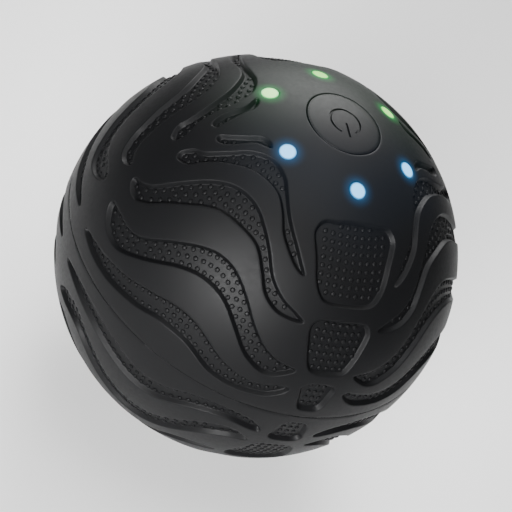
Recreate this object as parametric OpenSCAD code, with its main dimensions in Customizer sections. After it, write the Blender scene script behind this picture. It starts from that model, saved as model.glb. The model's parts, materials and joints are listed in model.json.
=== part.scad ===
// Vibrating massage ball with a patterned silicone skin, a push button and six
// signal lights. The ball stands on a small flat, +Z points up through the button.
// The column of square pads faces -Y (front), the charging port faces +Y (back),
// and the motor lies along X (left is -X, right is +X).

/* [Ball] */
// Diameter over the silicone skin
ball_d = 120; // [119:1:126]
// Thickness of the silicone skin
skin_t = 3.5; // [3:0.1:3.8]
// Thickness of the two rigid shells
shell_t = 3; // [2.4:0.1:3.2]
// Diameter of the flat that the ball stands on
base_d = 26; // [18:1:34]

/* [Button and lights] */
// Diameter of the power button
button_d = 22.8; // [20:0.2:24]
// Gap around the power button
button_gap = 0.3; // [0.2:0.05:0.4]
// Travel of the power button
button_travel = 0.5; // [0.3:0.1:0.8]
// Diameter of each signal light
light_d = 5; // [3:0.5:5.5]
// Angle between the button's axis and each signal light
light_polar = 22; // [21.5:0.5:24]

/* [Motor] */
// Diameter of the motor's steel can
motor_d = 36; // [34:1:36]
// Diameter of the motor shaft
shaft_d = 4; // [3:0.5:5]
// Height of the motor's axis above the ball's centre
motor_lift = 3; // [2:0.5:5]
// Radius of the eccentric weights
weight_r = 20; // [16:0.5:20]
// Thickness of the eccentric weights
weight_t = 10; // [6:1:10]

/* [Battery] */
// Diameter of a bare cell
cell_d = 18; // [17.8:0.1:18.2]
// Length of a cell
cell_len = 65; // [64:0.5:65.5]
// Thickness of the sleeve shrunk over each cell
sleeve_t = 0.15; // [0.1:0.05:0.2]

/* [Charging port] */
// Depth of the port's centre below the ball's centre
port_drop = 16; // [14:0.5:18]
// Width of the plug recess
recess_w = 13; // [12.6:0.2:14]
// Height of the plug recess
recess_h = 7.6; // [7:0.2:8]

/* [Boards] */
// Diameter of the round control board
board_d = 56; // [50:1:60]
// Height of the control board's top face above the ball's centre
board_level = 38; // [37:0.5:39]
// Thickness of the circuit boards
board_t = 1.6; // [1:0.2:1.6]

/* [Hidden] */
$fn = 96;

// Spheres of the skin and the shells, and the height of their shared centre
ball_r = ball_d / 2;
shell_r = ball_r - skin_t;
cavity_r = shell_r - shell_t;
base_r = base_d / 2;
centre_z = sqrt(ball_r * ball_r - base_r * base_r);
skin_seam = 0.1;
far = 2 * ball_d;

// Joint between the two shells: a tongue, a groove and a seal under the tongue
groove_r = cavity_r + 0.6;
groove_w = 1.6;
groove_depth = 2.5;
tongue_h = 1.6;
tongue_slack = 0.1;

// Corner bosses that the shell screws pass through
boss_offset = (cavity_r - 3.9) / sqrt(2);
boss_r = 4.2;
boss_top = 12;
screw_seat = -8;
corners = [[1, 1], [-1, 1], [-1, -1], [1, -1]];

// Power button and the switch under it
button_r = button_d / 2;
button_hole_r = button_r + button_gap;
collar_w = 3.8;
collar_z = cavity_r - 4;
flange_r = button_r + 2;
flange_t = 1.1;
flange_z = collar_z - 0.2 - flange_t;
cap_wall = 1.8;
cap_t = 3;
stem_r = 3;
plunger_r = 3.4;
plunger_top = board_level + 7.3;
switch_w = 12;
switch_h = 3.7;
switch_well = 2;
plunger_bottom = board_level + switch_well + button_travel + 0.3;
fit_gap = 0.05;

// Power symbol pressed into the button: an open ring with a bar in its gap
symbol_r = 4.7;
symbol_w = 0.7;
symbol_depth = 0.5;
symbol_gap = 64;
symbol_turn = -90;
symbol_bar = [0.6, 6];

// Signal lights, every 60 degrees: three blue in front and three green behind
light_r = light_d / 2;
light_step = 60;
blue_places = [-1, 0, 1];
green_places = [2, 3, 4];
pipe_start = board_level + 6.2;
pipe_flange = 0.8;
led_size = [2.8, 3.5, 1.9];
led_window_r = 1.1;
led_window_depth = 0.4;
led_ring = (board_level + 2) * tan(light_polar);

// Posts that the control board hangs from
board_post_ring = 23.5;
board_post_r = 3;
board_posts = [-60, 60, 180];
board_bottom = board_level - board_t;

// What hangs under the control board: connectors, capacitors, and chips as place and size
connector_size = [6, 5, 5];
connector_wall = 1;
connector_mouth = 0.6;
motor_connector_place = [-16.5, 0];
battery_connector_place = [0, -17.5];
charge_connector_place = [3.5, 18.5];
under_chips = [[[3, -9], [7, 7, 1.2]], [[-8, 5], [5, 4, 1.5]], [[4, 1], [6, 6, 3]]];
capacitor_r = 2;
capacitor_h = 5;
capacitor_places = [[-9, -10], [-9, -15]];

// Motor, measured from its middle along X
can_left = -25;
can_right = 27;
can_wall = 1.5;
can_r = motor_d / 2;
can_bore = can_r - can_wall;
cap_left = -29;
terminal_size = [6, 3, 0.8];
terminal_place = [7, 10.7];
hub_r = 6.5;
hub_len = 2.5;
bearing_r = 5;
shaft_r = shaft_d / 2;
shaft_half = 45.5;
magnet_t = 3.8;
magnet_arc = 130;
magnet_left = -17;
magnet_len = 36;
magnet_r = can_bore - fit_gap;
armature_r = magnet_r - magnet_t - 0.6;
armature_left = -14;
armature_right = 16;
slot_count = 5;
slot_w = 3.8;
slot_floor = 5.5;
winding_end = 4.5;
winding_step = 1;
commutator_r = 4.5;
commutator_left = -24;
commutator_right = -20;
brush_size = [2.8, 6, 3];
weight_inner = 34;
weight_hub_r = 6;
weight_lip = 2;
set_screw_r = 1.5;
hex_r = 0.8;
hex_depth = 1.2;
set_screw_sink = 0.4;

// Cradle under the motor, clamps over it, and the posts that carry the cradle
band_t = 0.5;
saddle_r = can_r + band_t;
saddle_x = 15;
saddle_w = 6;
saddle_half = saddle_r + 9.5;
clamp_t = 2;
clamp_ear_y = saddle_r + 5.8;
plate_top = motor_lift - can_r - 1.6;
plate_t = 3;
plate_half = [22, 24];
post_place = [26, 30];
post_r = 3.6;
ear_r = 4.5;
plate_tab = [8, 10];

// Battery: two cells side by side along X, under the cradle
sleeve_r = cell_d / 2 + sleeve_t;
cell_y = sleeve_r + 0.25;
foam_t = 1.3;
cell_z = plate_top - plate_t - foam_t - sleeve_r;
rib_x = 20;
rib_w = 2.5;
rib_half = 24;
stop_x = cell_len / 2 + 1.2;
stop_w = 1.8;
tab_t = 0.3;
tab_w = 7;
cell_nose = 1.2;
cell_nose_r = 3;
crimp_w = 0.8;
crimp_depth = 0.5;
crimp_place = cell_len / 2 - 3.4;
sleeve_end = 4;
foam_size = [30, 28, foam_t];
protection_size = [34, 1, 12];
protection_gap = 1.4;
protection_front = -2 * cell_y - protection_gap;
protection_chip = [4.5, 1.1, 4];
protection_chip_x = [-12, -5, 6];

// Charging port and its board
socket_size = [8.9, 7.35, 3.2];
socket_wall = 0.3;
recess_r = 3;
port_face = sqrt(ball_r * ball_r - port_drop * port_drop) - 5.3;
port_block = [19, 3.4, 12];
slot_reach = 15;
charge_top = -port_drop - socket_size[2] / 2;
charge_size = [22, 17, 1.2];
charge_front = port_face - port_block[1] - 0.6;
charge_post = [8, 35.5];
charge_post_r = 2.8;
charge_chip_places = [[[-4, 38.6], [4, 4, 1]], [[-9, 38.6], [3, 3, 1.5]], [[-1.6, 33.4], [6.4, 4.6, 3]]];
contact_size = [6.6, 4.6, 0.7];

// Screws
screw_r = 1.5;
small_screw_r = 1;

// Routes of the six leads, from the ball's centre, and where each one is shown
lead_d = 1.6;
thin_lead_d = 1.3;
lead_sides = 8;
lead_steps = 5;
motor_route = [
    [-31.6, 7, 15.4], [-31.6, 6.6, 19], [-30.5, 5, 24.5],
    [-25, 3, 28], [-18.5, 1.6, 28.6], [-16.5, 1.4, 31.2]
];
battery_route = [
    [1.4, -22.2, -27], [1.4, -25.4, -22], [1.4, -28, -12], [1.4, -29, 4],
    [1.4, -26, 19], [1.4, -20, 27], [1.4, -17.5, 31.2]
];
charge_route = [[1.6, 36, -13.8], [1.8, 38, -6], [2, 39, 8], [2.6, 34, 20], [3.6, 25, 27], [4.2, 19, 31.2]];

// ---------------------------------------------------------------- helpers

// Places its children around the ball's centre
module in_ball() {
    translate([0, 0, centre_z])
        children();
}

// Half of a hollow sphere: side 1 keeps the top, side -1 the bottom
module half_shell(outer_r, inner_r, side, gap = 0) {
    difference() {
        sphere(outer_r);
        sphere(inner_r);
        translate([0, 0, -side * (far / 2 - gap / 2)])
            cube(far, center = true);
    }
}

// Turns its children from +Z to the direction of one signal light
module at_light(place) {
    rotate([0, 0, -90 + light_step * place])
        rotate([0, light_polar, 0])
            children();
}

// Lays a shape that was built along +Z down along +X
module along_x() {
    rotate([0, 90, 0])
        children();
}

// Places its children on the motor's axis
module on_motor_axis() {
    translate([0, 0, centre_z + motor_lift])
        children();
}

// Round bar along X between two places
module bar_x(left, right, r) {
    translate([left, 0, 0])
        along_x()
            cylinder(h = right - left, r = r);
}

// Outline with two straight sides and round ends
module obround(w, h) {
    square([w - h, h], center = true);
    for (side = [-1, 1])
        translate([side * (w - h) / 2, 0])
            circle(d = h);
}

// Rectangle with round corners
module round_rect(w, h, r) {
    square([w - 2 * r, h], center = true);
    square([w, h - 2 * r], center = true);
    for (corner = corners)
        translate([corner[0] * (w / 2 - r), corner[1] * (h / 2 - r)])
            circle(r = r);
}

// Pan-head screw pointing up, its head's underside at z = 0, with a cross recess
module screw(r, length) {
    head_r = 1.85 * r;
    head_h = 1.2 * r;
    slot_w = 0.45 * r;
    cylinder(h = length, r = r);
    difference() {
        translate([0, 0, -head_h])
            cylinder(h = head_h, r = head_r);
        for (turn = [0, 90])
            rotate([0, 0, turn])
                translate([-0.6 * head_r, -slot_w / 2, -head_h - 1])
                    cube([1.2 * head_r, slot_w, 1 + 0.6 * head_h]);
    }
}

// Point on a smooth curve through four points, t from the second to the third
function spline_point(a, b, c, d, t) =
    0.5 * (2 * b + (c - a) * t + (2 * a - 5 * b + 4 * c - d) * t * t
    + (3 * b - a - 3 * c + d) * t * t * t);

// Smooth path through the route's points
function smooth_path(route) =
    let (last = len(route) - 1)
    [for (i = [0 : last - 1], k = [0 : lead_steps - 1])
        spline_point(route[max(i - 1, 0)], route[i], route[i + 1],
            route[min(i + 2, last)], k / lead_steps),
    route[last]];

function unit(v) = v / norm(v);

// Direction of the path at point i
function path_direction(path, i) =
    unit(path[min(i + 1, len(path) - 1)] - path[max(i - 1, 0)]);

// Round lead swept along a route
module lead(route, diameter) {
    path = smooth_path(route);
    rings = len(path);
    points = [for (i = [0 : rings - 1])
        let (
            forward = path_direction(path, i),
            across = unit(cross(forward, [1, 0.2, 0])),
            up = cross(across, forward)
        )
        for (k = [0 : lead_sides - 1])
            path[i] + diameter / 2 * (cos(360 * k / lead_sides) * across
            + sin(360 * k / lead_sides) * up)];
    walls = [for (i = [0 : rings - 2], k = [0 : lead_sides - 1])
        let (next = (k + 1) % lead_sides)
        [i * lead_sides + k, i * lead_sides + next,
        (i + 1) * lead_sides + next, (i + 1) * lead_sides + k]];
    start = [for (k = [lead_sides - 1 : -1 : 0]) k];
    end = [for (k = [0 : lead_sides - 1]) (rings - 1) * lead_sides + k];
    polyhedron(points = points, faces = concat([start], walls, [end]));
}

// The same route on the other side of x = 0 or y = 0
function mirrored(route, sign) =
    [for (p = route) [p[0] * sign[0], p[1] * sign[1], p[2]]];

// ---------------------------------------------------------------- skin and shells

// Hole down the button's axis
module button_hole() {
    cylinder(h = far, r = button_hole_r);
}

// Holes for the six signal lights
module light_holes(slack) {
    for (place = concat(blue_places, green_places))
        at_light(place)
            cylinder(h = far, r = light_r + slack);
}

// Recess that the charging plug goes into, open to the back
module plug_recess() {
    translate([0, port_face, -port_drop])
        rotate([-90, 0, 0])
            linear_extrude(height = far)
                round_rect(recess_w, recess_h, recess_r);
}

module upper_skin() {
    color("#1c1d20")
        in_ball()
            difference() {
                half_shell(ball_r, shell_r, 1, skin_seam);
                button_hole();
                light_holes(fit_gap);
            }
}

module lower_skin() {
    color("#1c1d20")
        in_ball()
            difference() {
                half_shell(ball_r, shell_r, -1, skin_seam);
                translate([0, 0, -centre_z - far / 2])
                    cube(far, center = true);
                plug_recess();
            }
}

// Collar inside the upper shell that guides the button
module button_collar() {
    intersection() {
        sphere(shell_r - 0.5);
        translate([0, 0, collar_z])
            cylinder(h = 10, r = button_hole_r + collar_w);
    }
}

// Posts that the control board is screwed to
module board_posts_solid() {
    intersection() {
        sphere(shell_r - 0.5);
        for (angle = board_posts)
            rotate([0, 0, angle])
                translate([board_post_ring, 0, board_level])
                    cylinder(h = 20, r = board_post_r);
    }
}

module board_post_holes() {
    for (angle = board_posts)
        rotate([0, 0, angle])
            translate([board_post_ring, 0, board_level - 1])
                cylinder(h = 8, r = small_screw_r);
}

module upper_shell() {
    color("#3a3d41")
        in_ball()
            difference() {
                union() {
                    half_shell(shell_r, cavity_r, 1);
                    button_collar();
                    board_posts_solid();
                    shell_tongue();
                    upper_bosses();
                }
                button_hole();
                light_holes(fit_gap);
                board_post_holes();
                for (corner = corners)
                    translate([corner[0] * boss_offset, corner[1] * boss_offset, -1])
                        cylinder(h = boss_top - 1, r = screw_r);
            }
}

module shell_tongue() {
    translate([0, 0, -tongue_h])
        difference() {
            cylinder(h = tongue_h + 1, r = groove_r + groove_w - tongue_slack);
            translate([0, 0, -1])
                cylinder(h = far, r = groove_r + tongue_slack);
        }
}

module upper_bosses() {
    intersection() {
        sphere(shell_r - 0.5);
        for (corner = corners)
            translate([corner[0] * boss_offset, corner[1] * boss_offset, 0])
                cylinder(h = boss_top, r = boss_r);
    }
}

// Round pillar standing on the inside of the lower shell
module pillar(place, top, r) {
    intersection() {
        sphere(shell_r - 0.5);
        translate([place[0], place[1], top - far])
            cylinder(h = far, r = r);
    }
}

// Ribs that carry the two cells, and the stops at the cells' ends
module battery_ribs() {
    intersection() {
        sphere(shell_r - 0.5);
        union() {
            for (side = [-1, 1]) {
                translate([side * rib_x - rib_w / 2, -rib_half, cell_z - far])
                    cube([rib_w, 2 * rib_half, far]);
                translate([side * (stop_x + stop_w / 2) - stop_w / 2, -rib_half / 2, cell_z - far - 4])
                    cube([stop_w, rib_half, far]);
            }
        }
    }
}

// Block inside the lower shell that holds the charging socket
module port_boss() {
    translate([-port_block[0] / 2, port_face - port_block[1], -port_drop - port_block[2] / 2])
        intersection() {
            cube([port_block[0], port_block[1] + 2, port_block[2]]);
            translate([port_block[0] / 2, port_block[1] - port_face, port_drop + port_block[2] / 2])
                sphere(shell_r - 0.5);
        }
}

module socket_slot() {
    translate([0, port_face - far / 2, -port_drop])
        rotate([-90, 0, 0])
            linear_extrude(height = far)
                obround(socket_size[0] + 2 * fit_gap, socket_size[2] + 2 * fit_gap);
}

module lower_shell() {
    color("#3a3d41")
        in_ball()
            difference() {
                union() {
                    half_shell(shell_r, cavity_r, -1);
                    battery_ribs();
                    port_boss();
                    for (corner = corners) {
                        pillar(corner * boss_offset, 0, boss_r);
                        pillar(
                            [corner[0] * post_place[0], corner[1] * post_place[1]],
                            plate_top - plate_t, post_r
                        );
                    }
                    for (side = [-1, 1])
                        pillar(
                            [side * charge_post[0], charge_post[1]],
                            charge_top - charge_size[2], charge_post_r
                        );
                }
                shell_groove();
                lower_boss_holes();
                cradle_post_holes();
                charge_post_holes();
                cell_beds();
                plug_recess();
                intersection() {
                    socket_slot();
                    translate([-recess_w, port_face - slot_reach, -2 * port_drop])
                        cube([2 * recess_w, 2 * slot_reach, 2 * port_drop]);
                }
            }
}

module shell_groove() {
    translate([0, 0, -groove_depth])
        difference() {
            cylinder(h = groove_depth + 1, r = groove_r + groove_w);
            translate([0, 0, -1])
                cylinder(h = far, r = groove_r);
        }
}

// Through hole and head well in each corner boss
module lower_boss_holes() {
    for (corner = corners)
        translate([corner[0] * boss_offset, corner[1] * boss_offset, 0]) {
            translate([0, 0, screw_seat - 1])
                cylinder(h = 20, r = screw_r + 0.2);
            translate([0, 0, screw_seat - far])
                cylinder(h = far, r = 3);
        }
}

module cradle_post_holes() {
    for (corner = corners)
        translate([corner[0] * post_place[0], corner[1] * post_place[1], plate_top - plate_t - 8])
            cylinder(h = 10, r = small_screw_r);
}

module charge_post_holes() {
    for (side = [-1, 1])
        translate([side * charge_post[0], charge_post[1], charge_top - charge_size[2] - 6])
            cylinder(h = 8, r = small_screw_r);
}

// Round beds for the cells, cut out of the ribs
module cell_beds() {
    for (side = [-1, 1])
        translate([0, side * cell_y, cell_z])
            bar_x(-stop_x, stop_x, sleeve_r + fit_gap);
}

module shell_seal() {
    color("#7d3b32")
        in_ball()
            translate([0, 0, -groove_depth])
                difference() {
                    cylinder(h = groove_depth - tongue_h, r = groove_r + groove_w);
                    translate([0, 0, -1])
                        cylinder(h = far, r = groove_r);
                }
}

module shell_screws() {
    color("#9a9da1")
        in_ball()
            for (corner = corners)
                translate([corner[0] * boss_offset, corner[1] * boss_offset, screw_seat])
                    screw(screw_r, 16);
}

// ---------------------------------------------------------------- button and lights

// Open ring with a bar, cut into the top of the button
module power_symbol() {
    rotate([0, 0, symbol_turn]) {
        rotate([0, 0, symbol_gap / 2])
            rotate_extrude(angle = 360 - symbol_gap)
                translate([symbol_r - symbol_w / 2, ball_r - symbol_depth])
                    square([symbol_w, 4]);
        translate([symbol_bar[0], -symbol_w / 2, ball_r - symbol_depth])
            cube([symbol_bar[1] - symbol_bar[0], symbol_w, 4]);
    }
}

module power_button() {
    color("#232427")
        in_ball()
            difference() {
                union() {
                    difference() {
                        intersection() {
                            sphere(ball_r);
                            translate([0, 0, flange_z])
                                cylinder(h = far, r = button_r);
                        }
                        translate([0, 0, flange_z - 1])
                            cylinder(h = ball_r - cap_t - flange_z, r = button_r - cap_wall);
                    }
                    difference() {
                        translate([0, 0, flange_z])
                            cylinder(h = flange_t, r = flange_r);
                        translate([0, 0, flange_z - 1])
                            cylinder(h = far, r = button_r - cap_wall);
                    }
                    translate([0, 0, plunger_top + fit_gap])
                        cylinder(h = ball_r - cap_t - plunger_top, r = stem_r);
                }
                power_symbol();
            }
}

// Clear rod from one lamp on the board to the ball's surface
module light_pipe(place) {
    intersection() {
        sphere(ball_r);
        at_light(place)
            union() {
                translate([0, 0, pipe_start])
                    cylinder(h = far, r = light_r);
                translate([0, 0, cavity_r - 2])
                    cylinder(h = 1.4, r = light_r + pipe_flange);
            }
    }
}

module blue_light_pipes() {
    color("#c4eaf7")
        in_ball()
            for (place = blue_places)
                light_pipe(place);
}

module green_light_pipes() {
    color("#c4ebbe")
        in_ball()
            for (place = green_places)
                light_pipe(place);
}

// ---------------------------------------------------------------- control board

module control_board() {
    color("#1f6b3f")
        in_ball()
            translate([0, 0, board_bottom])
                difference() {
                    cylinder(h = board_t, r = board_d / 2);
                    for (angle = board_posts)
                        rotate([0, 0, angle])
                            translate([board_post_ring, 0, -1])
                                cylinder(h = 4, r = small_screw_r + 0.2);
                }
}

// Lamp lying on the board at one light's place
module led(place) {
    rotate([0, 0, -90 + light_step * place])
        translate([led_ring - led_size[0] / 2, -led_size[1] / 2, board_level])
            difference() {
                cube(led_size);
                translate([led_size[0] / 2, led_size[1] / 2, led_size[2] - led_window_depth])
                    cylinder(h = 1, r = led_window_r);
            }
}

module blue_leds() {
    color("#eef3f5")
        in_ball()
            for (place = blue_places)
                led(place);
}

module green_leds() {
    color("#f1f3ea")
        in_ball()
            for (place = green_places)
                led(place);
}

// Controller, motor driver, coil and two capacitors under the board
module board_chips() {
    color("#26282b")
        in_ball()
            translate([0, 0, board_bottom]) {
                for (chip = under_chips)
                    translate([chip[0][0], chip[0][1], -chip[1][2]])
                        cube(chip[1]);
                for (place = capacitor_places)
                    translate([place[0], place[1], -capacitor_h])
                        cylinder(h = capacitor_h, r = capacitor_r);
            }
}

module switch_body() {
    color("#2d2f33")
        in_ball()
            translate([0, 0, board_level])
                difference() {
                    translate([-switch_w / 2, -switch_w / 2, 0])
                        cube([switch_w, switch_w, switch_h]);
                    translate([0, 0, switch_well])
                        cylinder(h = switch_h, r = plunger_r + fit_gap);
                }
}

module switch_plunger() {
    color("#d9d9d4")
        in_ball()
            translate([0, 0, plunger_bottom])
                cylinder(h = plunger_top - plunger_bottom, r = plunger_r);
}

// Two-pin connector hanging under the board
module connector(place) {
    translate([
        place[0] - connector_size[0] / 2,
        place[1] - connector_size[1] / 2,
        board_bottom - connector_size[2]
    ])
        difference() {
            cube(connector_size);
            translate([connector_wall, connector_wall, -connector_wall])
                cube([
                    connector_size[0] - 2 * connector_wall,
                    connector_size[1] - 2 * connector_wall,
                    connector_wall + connector_mouth
                ]);
        }
}

module motor_connector() {
    color("#e8e4d8")
        in_ball()
            connector(motor_connector_place);
}

module battery_connector() {
    color("#e8e4d8")
        in_ball()
            connector(battery_connector_place);
}

module charge_connector() {
    color("#e8e4d8")
        in_ball()
            connector(charge_connector_place);
}

module board_screws() {
    color("#9a9da1")
        in_ball()
            for (angle = board_posts)
                rotate([0, 0, angle])
                    translate([board_post_ring, 0, board_bottom])
                        screw(small_screw_r, 8);
}

// ---------------------------------------------------------------- motor

module motor_can() {
    color("#b4b7ba")
        on_motor_axis()
            difference() {
                union() {
                    bar_x(can_left, can_right, can_r);
                    bar_x(can_right - 1, can_right + hub_len, hub_r);
                }
                bar_x(can_left - 1, can_right - can_wall, can_bore);
                bar_x(can_right - can_wall - 1, can_right + hub_len + 1, bearing_r);
            }
}

module motor_end_cap() {
    color("#e5e2da")
        on_motor_axis()
            difference() {
                union() {
                    bar_x(cap_left, can_left, can_r - 0.3);
                    bar_x(can_left - 1, can_left + 1.5, can_bore);
                    bar_x(cap_left - hub_len, cap_left + 1, hub_r);
                }
                bar_x(cap_left + 2, can_left + 2, can_bore - 1.2);
                bar_x(cap_left - hub_len - 1, cap_left + 3, bearing_r);
                for (side = [-1, 1])
                    translate([
                        cap_left - 1,
                        side * terminal_place[0] - terminal_size[1] / 2 - 2 * fit_gap,
                        terminal_place[1] - 2 * fit_gap
                    ])
                        cube([4, terminal_size[1] + 4 * fit_gap, terminal_size[2] + 4 * fit_gap]);
            }
}

module motor_magnets() {
    color("#4b4d50")
        on_motor_axis()
            for (side = [-1, 1])
                translate([magnet_left, 0, 0])
                    along_x()
                        rotate([0, 0, 90 * side - magnet_arc / 2])
                            rotate_extrude(angle = magnet_arc)
                                translate([magnet_r - magnet_t, 0])
                                    square([magnet_t, magnet_len]);
}

// Bronze bush that the shaft runs in
module bearing(left, right) {
    difference() {
        bar_x(left, right, bearing_r);
        bar_x(left - 1, right + 1, shaft_r + fit_gap);
    }
}

module left_bearing() {
    color("#b5894b")
        on_motor_axis()
            bearing(cap_left - hub_len, cap_left + 2);
}

module right_bearing() {
    color("#b5894b")
        on_motor_axis()
            bearing(can_right - can_wall, can_right + hub_len);
}

module motor_brushes() {
    color("#3b3532")
        on_motor_axis()
            difference() {
                for (side = [-1, 1])
                    translate([
                        (commutator_left + commutator_right - brush_size[0]) / 2,
                        side * (commutator_r + brush_size[1] / 2) - brush_size[1] / 2,
                        -brush_size[2] / 2
                    ])
                        cube(brush_size);
                bar_x(commutator_left, commutator_right, commutator_r + 2 * fit_gap);
            }
}

module motor_terminals() {
    color("#c9a25c")
        on_motor_axis()
            for (side = [-1, 1])
                translate([
                    cap_left - terminal_size[0] / 2,
                    side * terminal_place[0] - terminal_size[1] / 2,
                    terminal_place[1]
                ])
                    cube(terminal_size);
}

module motor_shaft() {
    color("#c8cbcf")
        on_motor_axis()
            bar_x(-shaft_half, shaft_half, shaft_r);
}

// One slot of the armature, open at its rim
module armature_slot() {
    translate([armature_left - 1, -slot_w / 2, slot_floor])
        cube([armature_right - armature_left + 2, slot_w, armature_r]);
}

module armature_core() {
    color("#6f7377")
        on_motor_axis()
            difference() {
                bar_x(armature_left, armature_right, armature_r);
                bar_x(armature_left - 1, armature_right + 1, shaft_r);
                for (i = [0 : slot_count - 1])
                    rotate([360 * i / slot_count, 0, 0])
                        armature_slot();
            }
}

module armature_windings() {
    color("#a2562f")
        on_motor_axis() {
            intersection() {
                bar_x(armature_left, armature_right, armature_r - winding_step);
                for (i = [0 : slot_count - 1])
                    rotate([360 * i / slot_count, 0, 0])
                        armature_slot();
            }
            difference() {
                union() {
                    bar_x(armature_left - winding_end, armature_left, armature_r - 1.6 * winding_step);
                    bar_x(armature_right, armature_right + winding_end, armature_r - 1.6 * winding_step);
                }
                bar_x(armature_left - winding_end - 1, armature_right + winding_end + 1, shaft_r + 1);
            }
        }
}

module commutator() {
    color("#c07a45")
        on_motor_axis()
            difference() {
                bar_x(commutator_left, commutator_right, commutator_r);
                bar_x(commutator_left - 1, commutator_right + 1, shaft_r);
            }
}

// Half-round weight that hangs below the shaft, from x = weight_inner outwards
module eccentric_weight() {
    difference() {
        union() {
            difference() {
                bar_x(weight_inner, weight_inner + weight_t, weight_r);
                translate([0, -far / 2, -weight_lip])
                    cube(far);
            }
            bar_x(weight_inner, weight_inner + weight_t, weight_hub_r);
        }
        bar_x(weight_inner - 1, weight_inner + weight_t + 1, shaft_r);
        translate([weight_inner + weight_t / 2, 0, 0])
            cylinder(h = far, r = set_screw_r);
    }
}

module left_weight() {
    color("#b8923f")
        on_motor_axis()
            rotate([0, 0, 180])
                eccentric_weight();
}

module right_weight() {
    color("#b8923f")
        on_motor_axis()
            eccentric_weight();
}

module weight_screws() {
    color("#4a4c50")
        on_motor_axis()
            for (side = [-1, 1])
                translate([side * (weight_inner + weight_t / 2), 0, 0])
                    difference() {
                        translate([0, 0, shaft_r])
                            cylinder(h = weight_hub_r - shaft_r - set_screw_sink, r = set_screw_r);
                        translate([0, 0, weight_hub_r - set_screw_sink - hex_depth])
                            cylinder(h = 4, r = hex_r, $fn = 6);
                        bar_x(-10, 10, shaft_r);
                    }
}

// ---------------------------------------------------------------- motor mounting

module motor_cradle() {
    color("#55595e")
        difference() {
            union() {
                in_ball() {
                    translate([-plate_half[0], -plate_half[1], plate_top - plate_t])
                        cube([2 * plate_half[0], 2 * plate_half[1], plate_t]);
                    for (corner = corners) {
                        translate([corner[0] * post_place[0], corner[1] * post_place[1], plate_top - plate_t])
                            cylinder(h = plate_t, r = ear_r);
                        translate([
                            corner[0] * (plate_half[0] - 2.5) - plate_tab[0] / 2,
                            corner[1] * (plate_half[1] + 1) - plate_tab[1] / 2,
                            plate_top - plate_t
                        ])
                            cube([plate_tab[0], plate_tab[1], plate_t]);
                    }
                    for (side = [-1, 1])
                        translate([side * saddle_x - saddle_w / 2, -saddle_half, plate_top - plate_t])
                            cube([saddle_w, 2 * saddle_half, motor_lift - plate_top + plate_t]);
                }
            }
            on_motor_axis()
                bar_x(-far, far, saddle_r);
            in_ball()
                for (corner = corners) {
                    translate([corner[0] * post_place[0], corner[1] * post_place[1], plate_top - far])
                        cylinder(h = 2 * far, r = small_screw_r + 0.2);
                    translate([corner[0] * saddle_x, corner[1] * clamp_ear_y, motor_lift - 10])
                        cylinder(h = far, r = small_screw_r);
                }
        }
}

module motor_clamps() {
    color("#a9adb1")
        on_motor_axis()
            for (side = [-1, 1])
                translate([side * saddle_x, 0, 0])
                    difference() {
                        union() {
                            bar_x(-saddle_w / 2, saddle_w / 2, saddle_r + clamp_t);
                            translate([-saddle_w / 2, -saddle_half, 0])
                                cube([saddle_w, 2 * saddle_half, clamp_t]);
                        }
                        bar_x(-saddle_w, saddle_w, saddle_r);
                        translate([-saddle_w, -far / 2, -far])
                            cube([2 * saddle_w, far, far]);
                        for (end = [-1, 1])
                            translate([0, end * clamp_ear_y, -1])
                                cylinder(h = 10, r = small_screw_r + 0.2);
                    }
}

module motor_bands() {
    color("#2b2b2c")
        on_motor_axis()
            for (side = [-1, 1])
                translate([side * saddle_x, 0, 0])
                    difference() {
                        bar_x(-saddle_w / 2, saddle_w / 2, saddle_r);
                        bar_x(-saddle_w, saddle_w, can_r);
                    }
}

module clamp_screws() {
    color("#9a9da1")
        on_motor_axis()
            for (corner = corners)
                translate([corner[0] * saddle_x, corner[1] * clamp_ear_y, clamp_t])
                    mirror([0, 0, 1])
                        screw(small_screw_r, 9);
}

module cradle_screws() {
    color("#9a9da1")
        in_ball()
            for (corner = corners)
                translate([corner[0] * post_place[0], corner[1] * post_place[1], plate_top])
                    mirror([0, 0, 1])
                        screw(small_screw_r, 9);
}

// ---------------------------------------------------------------- battery

// Steel cell with its raised contact at one end
module cell(side) {
    in_ball()
        translate([0, side * cell_y, cell_z])
            rotate([0, 0, side > 0 ? 180 : 0])
                difference() {
                    union() {
                        bar_x(-cell_len / 2, cell_len / 2 - cell_nose, cell_d / 2);
                        bar_x(0, cell_len / 2, cell_nose_r);
                    }
                    difference() {
                        bar_x(crimp_place, crimp_place + crimp_w, cell_d / 2 + 1);
                        bar_x(0, cell_len / 2, cell_d / 2 - crimp_depth);
                    }
                }
}

module front_cell() {
    color("#c2c5c8")
        cell(-1);
}

module back_cell() {
    color("#c2c5c8")
        cell(1);
}

module cell_sleeves() {
    color("#2f6fb0")
        in_ball()
            for (side = [-1, 1])
                translate([0, side * cell_y, cell_z])
                    difference() {
                        bar_x(1 - cell_len / 2, cell_len / 2 - sleeve_end, sleeve_r);
                        bar_x(-cell_len, cell_len, cell_d / 2);
                    }
}

// Welded strip across both cells at each end
module cell_tabs() {
    color("#cfd1cd")
        in_ball()
            for (side = [-1, 1])
                translate([side * (cell_len / 2 + tab_t / 2), 0, cell_z])
                    rotate([0, 90, 0])
                        translate([0, 0, -tab_t / 2])
                            linear_extrude(height = tab_t)
                                round_rect(tab_w, 2 * cell_y + tab_w - 1, 1.5);
}

module battery_foam() {
    color("#8c8f86")
        in_ball()
            translate([-foam_size[0] / 2, -foam_size[1] / 2, cell_z + sleeve_r])
                cube(foam_size);
}

module protection_board() {
    color("#1f6b3f")
        in_ball()
            translate([
                -protection_size[0] / 2,
                protection_front - protection_size[1],
                cell_z - protection_size[2] / 2
            ])
                cube(protection_size);
}

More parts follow.
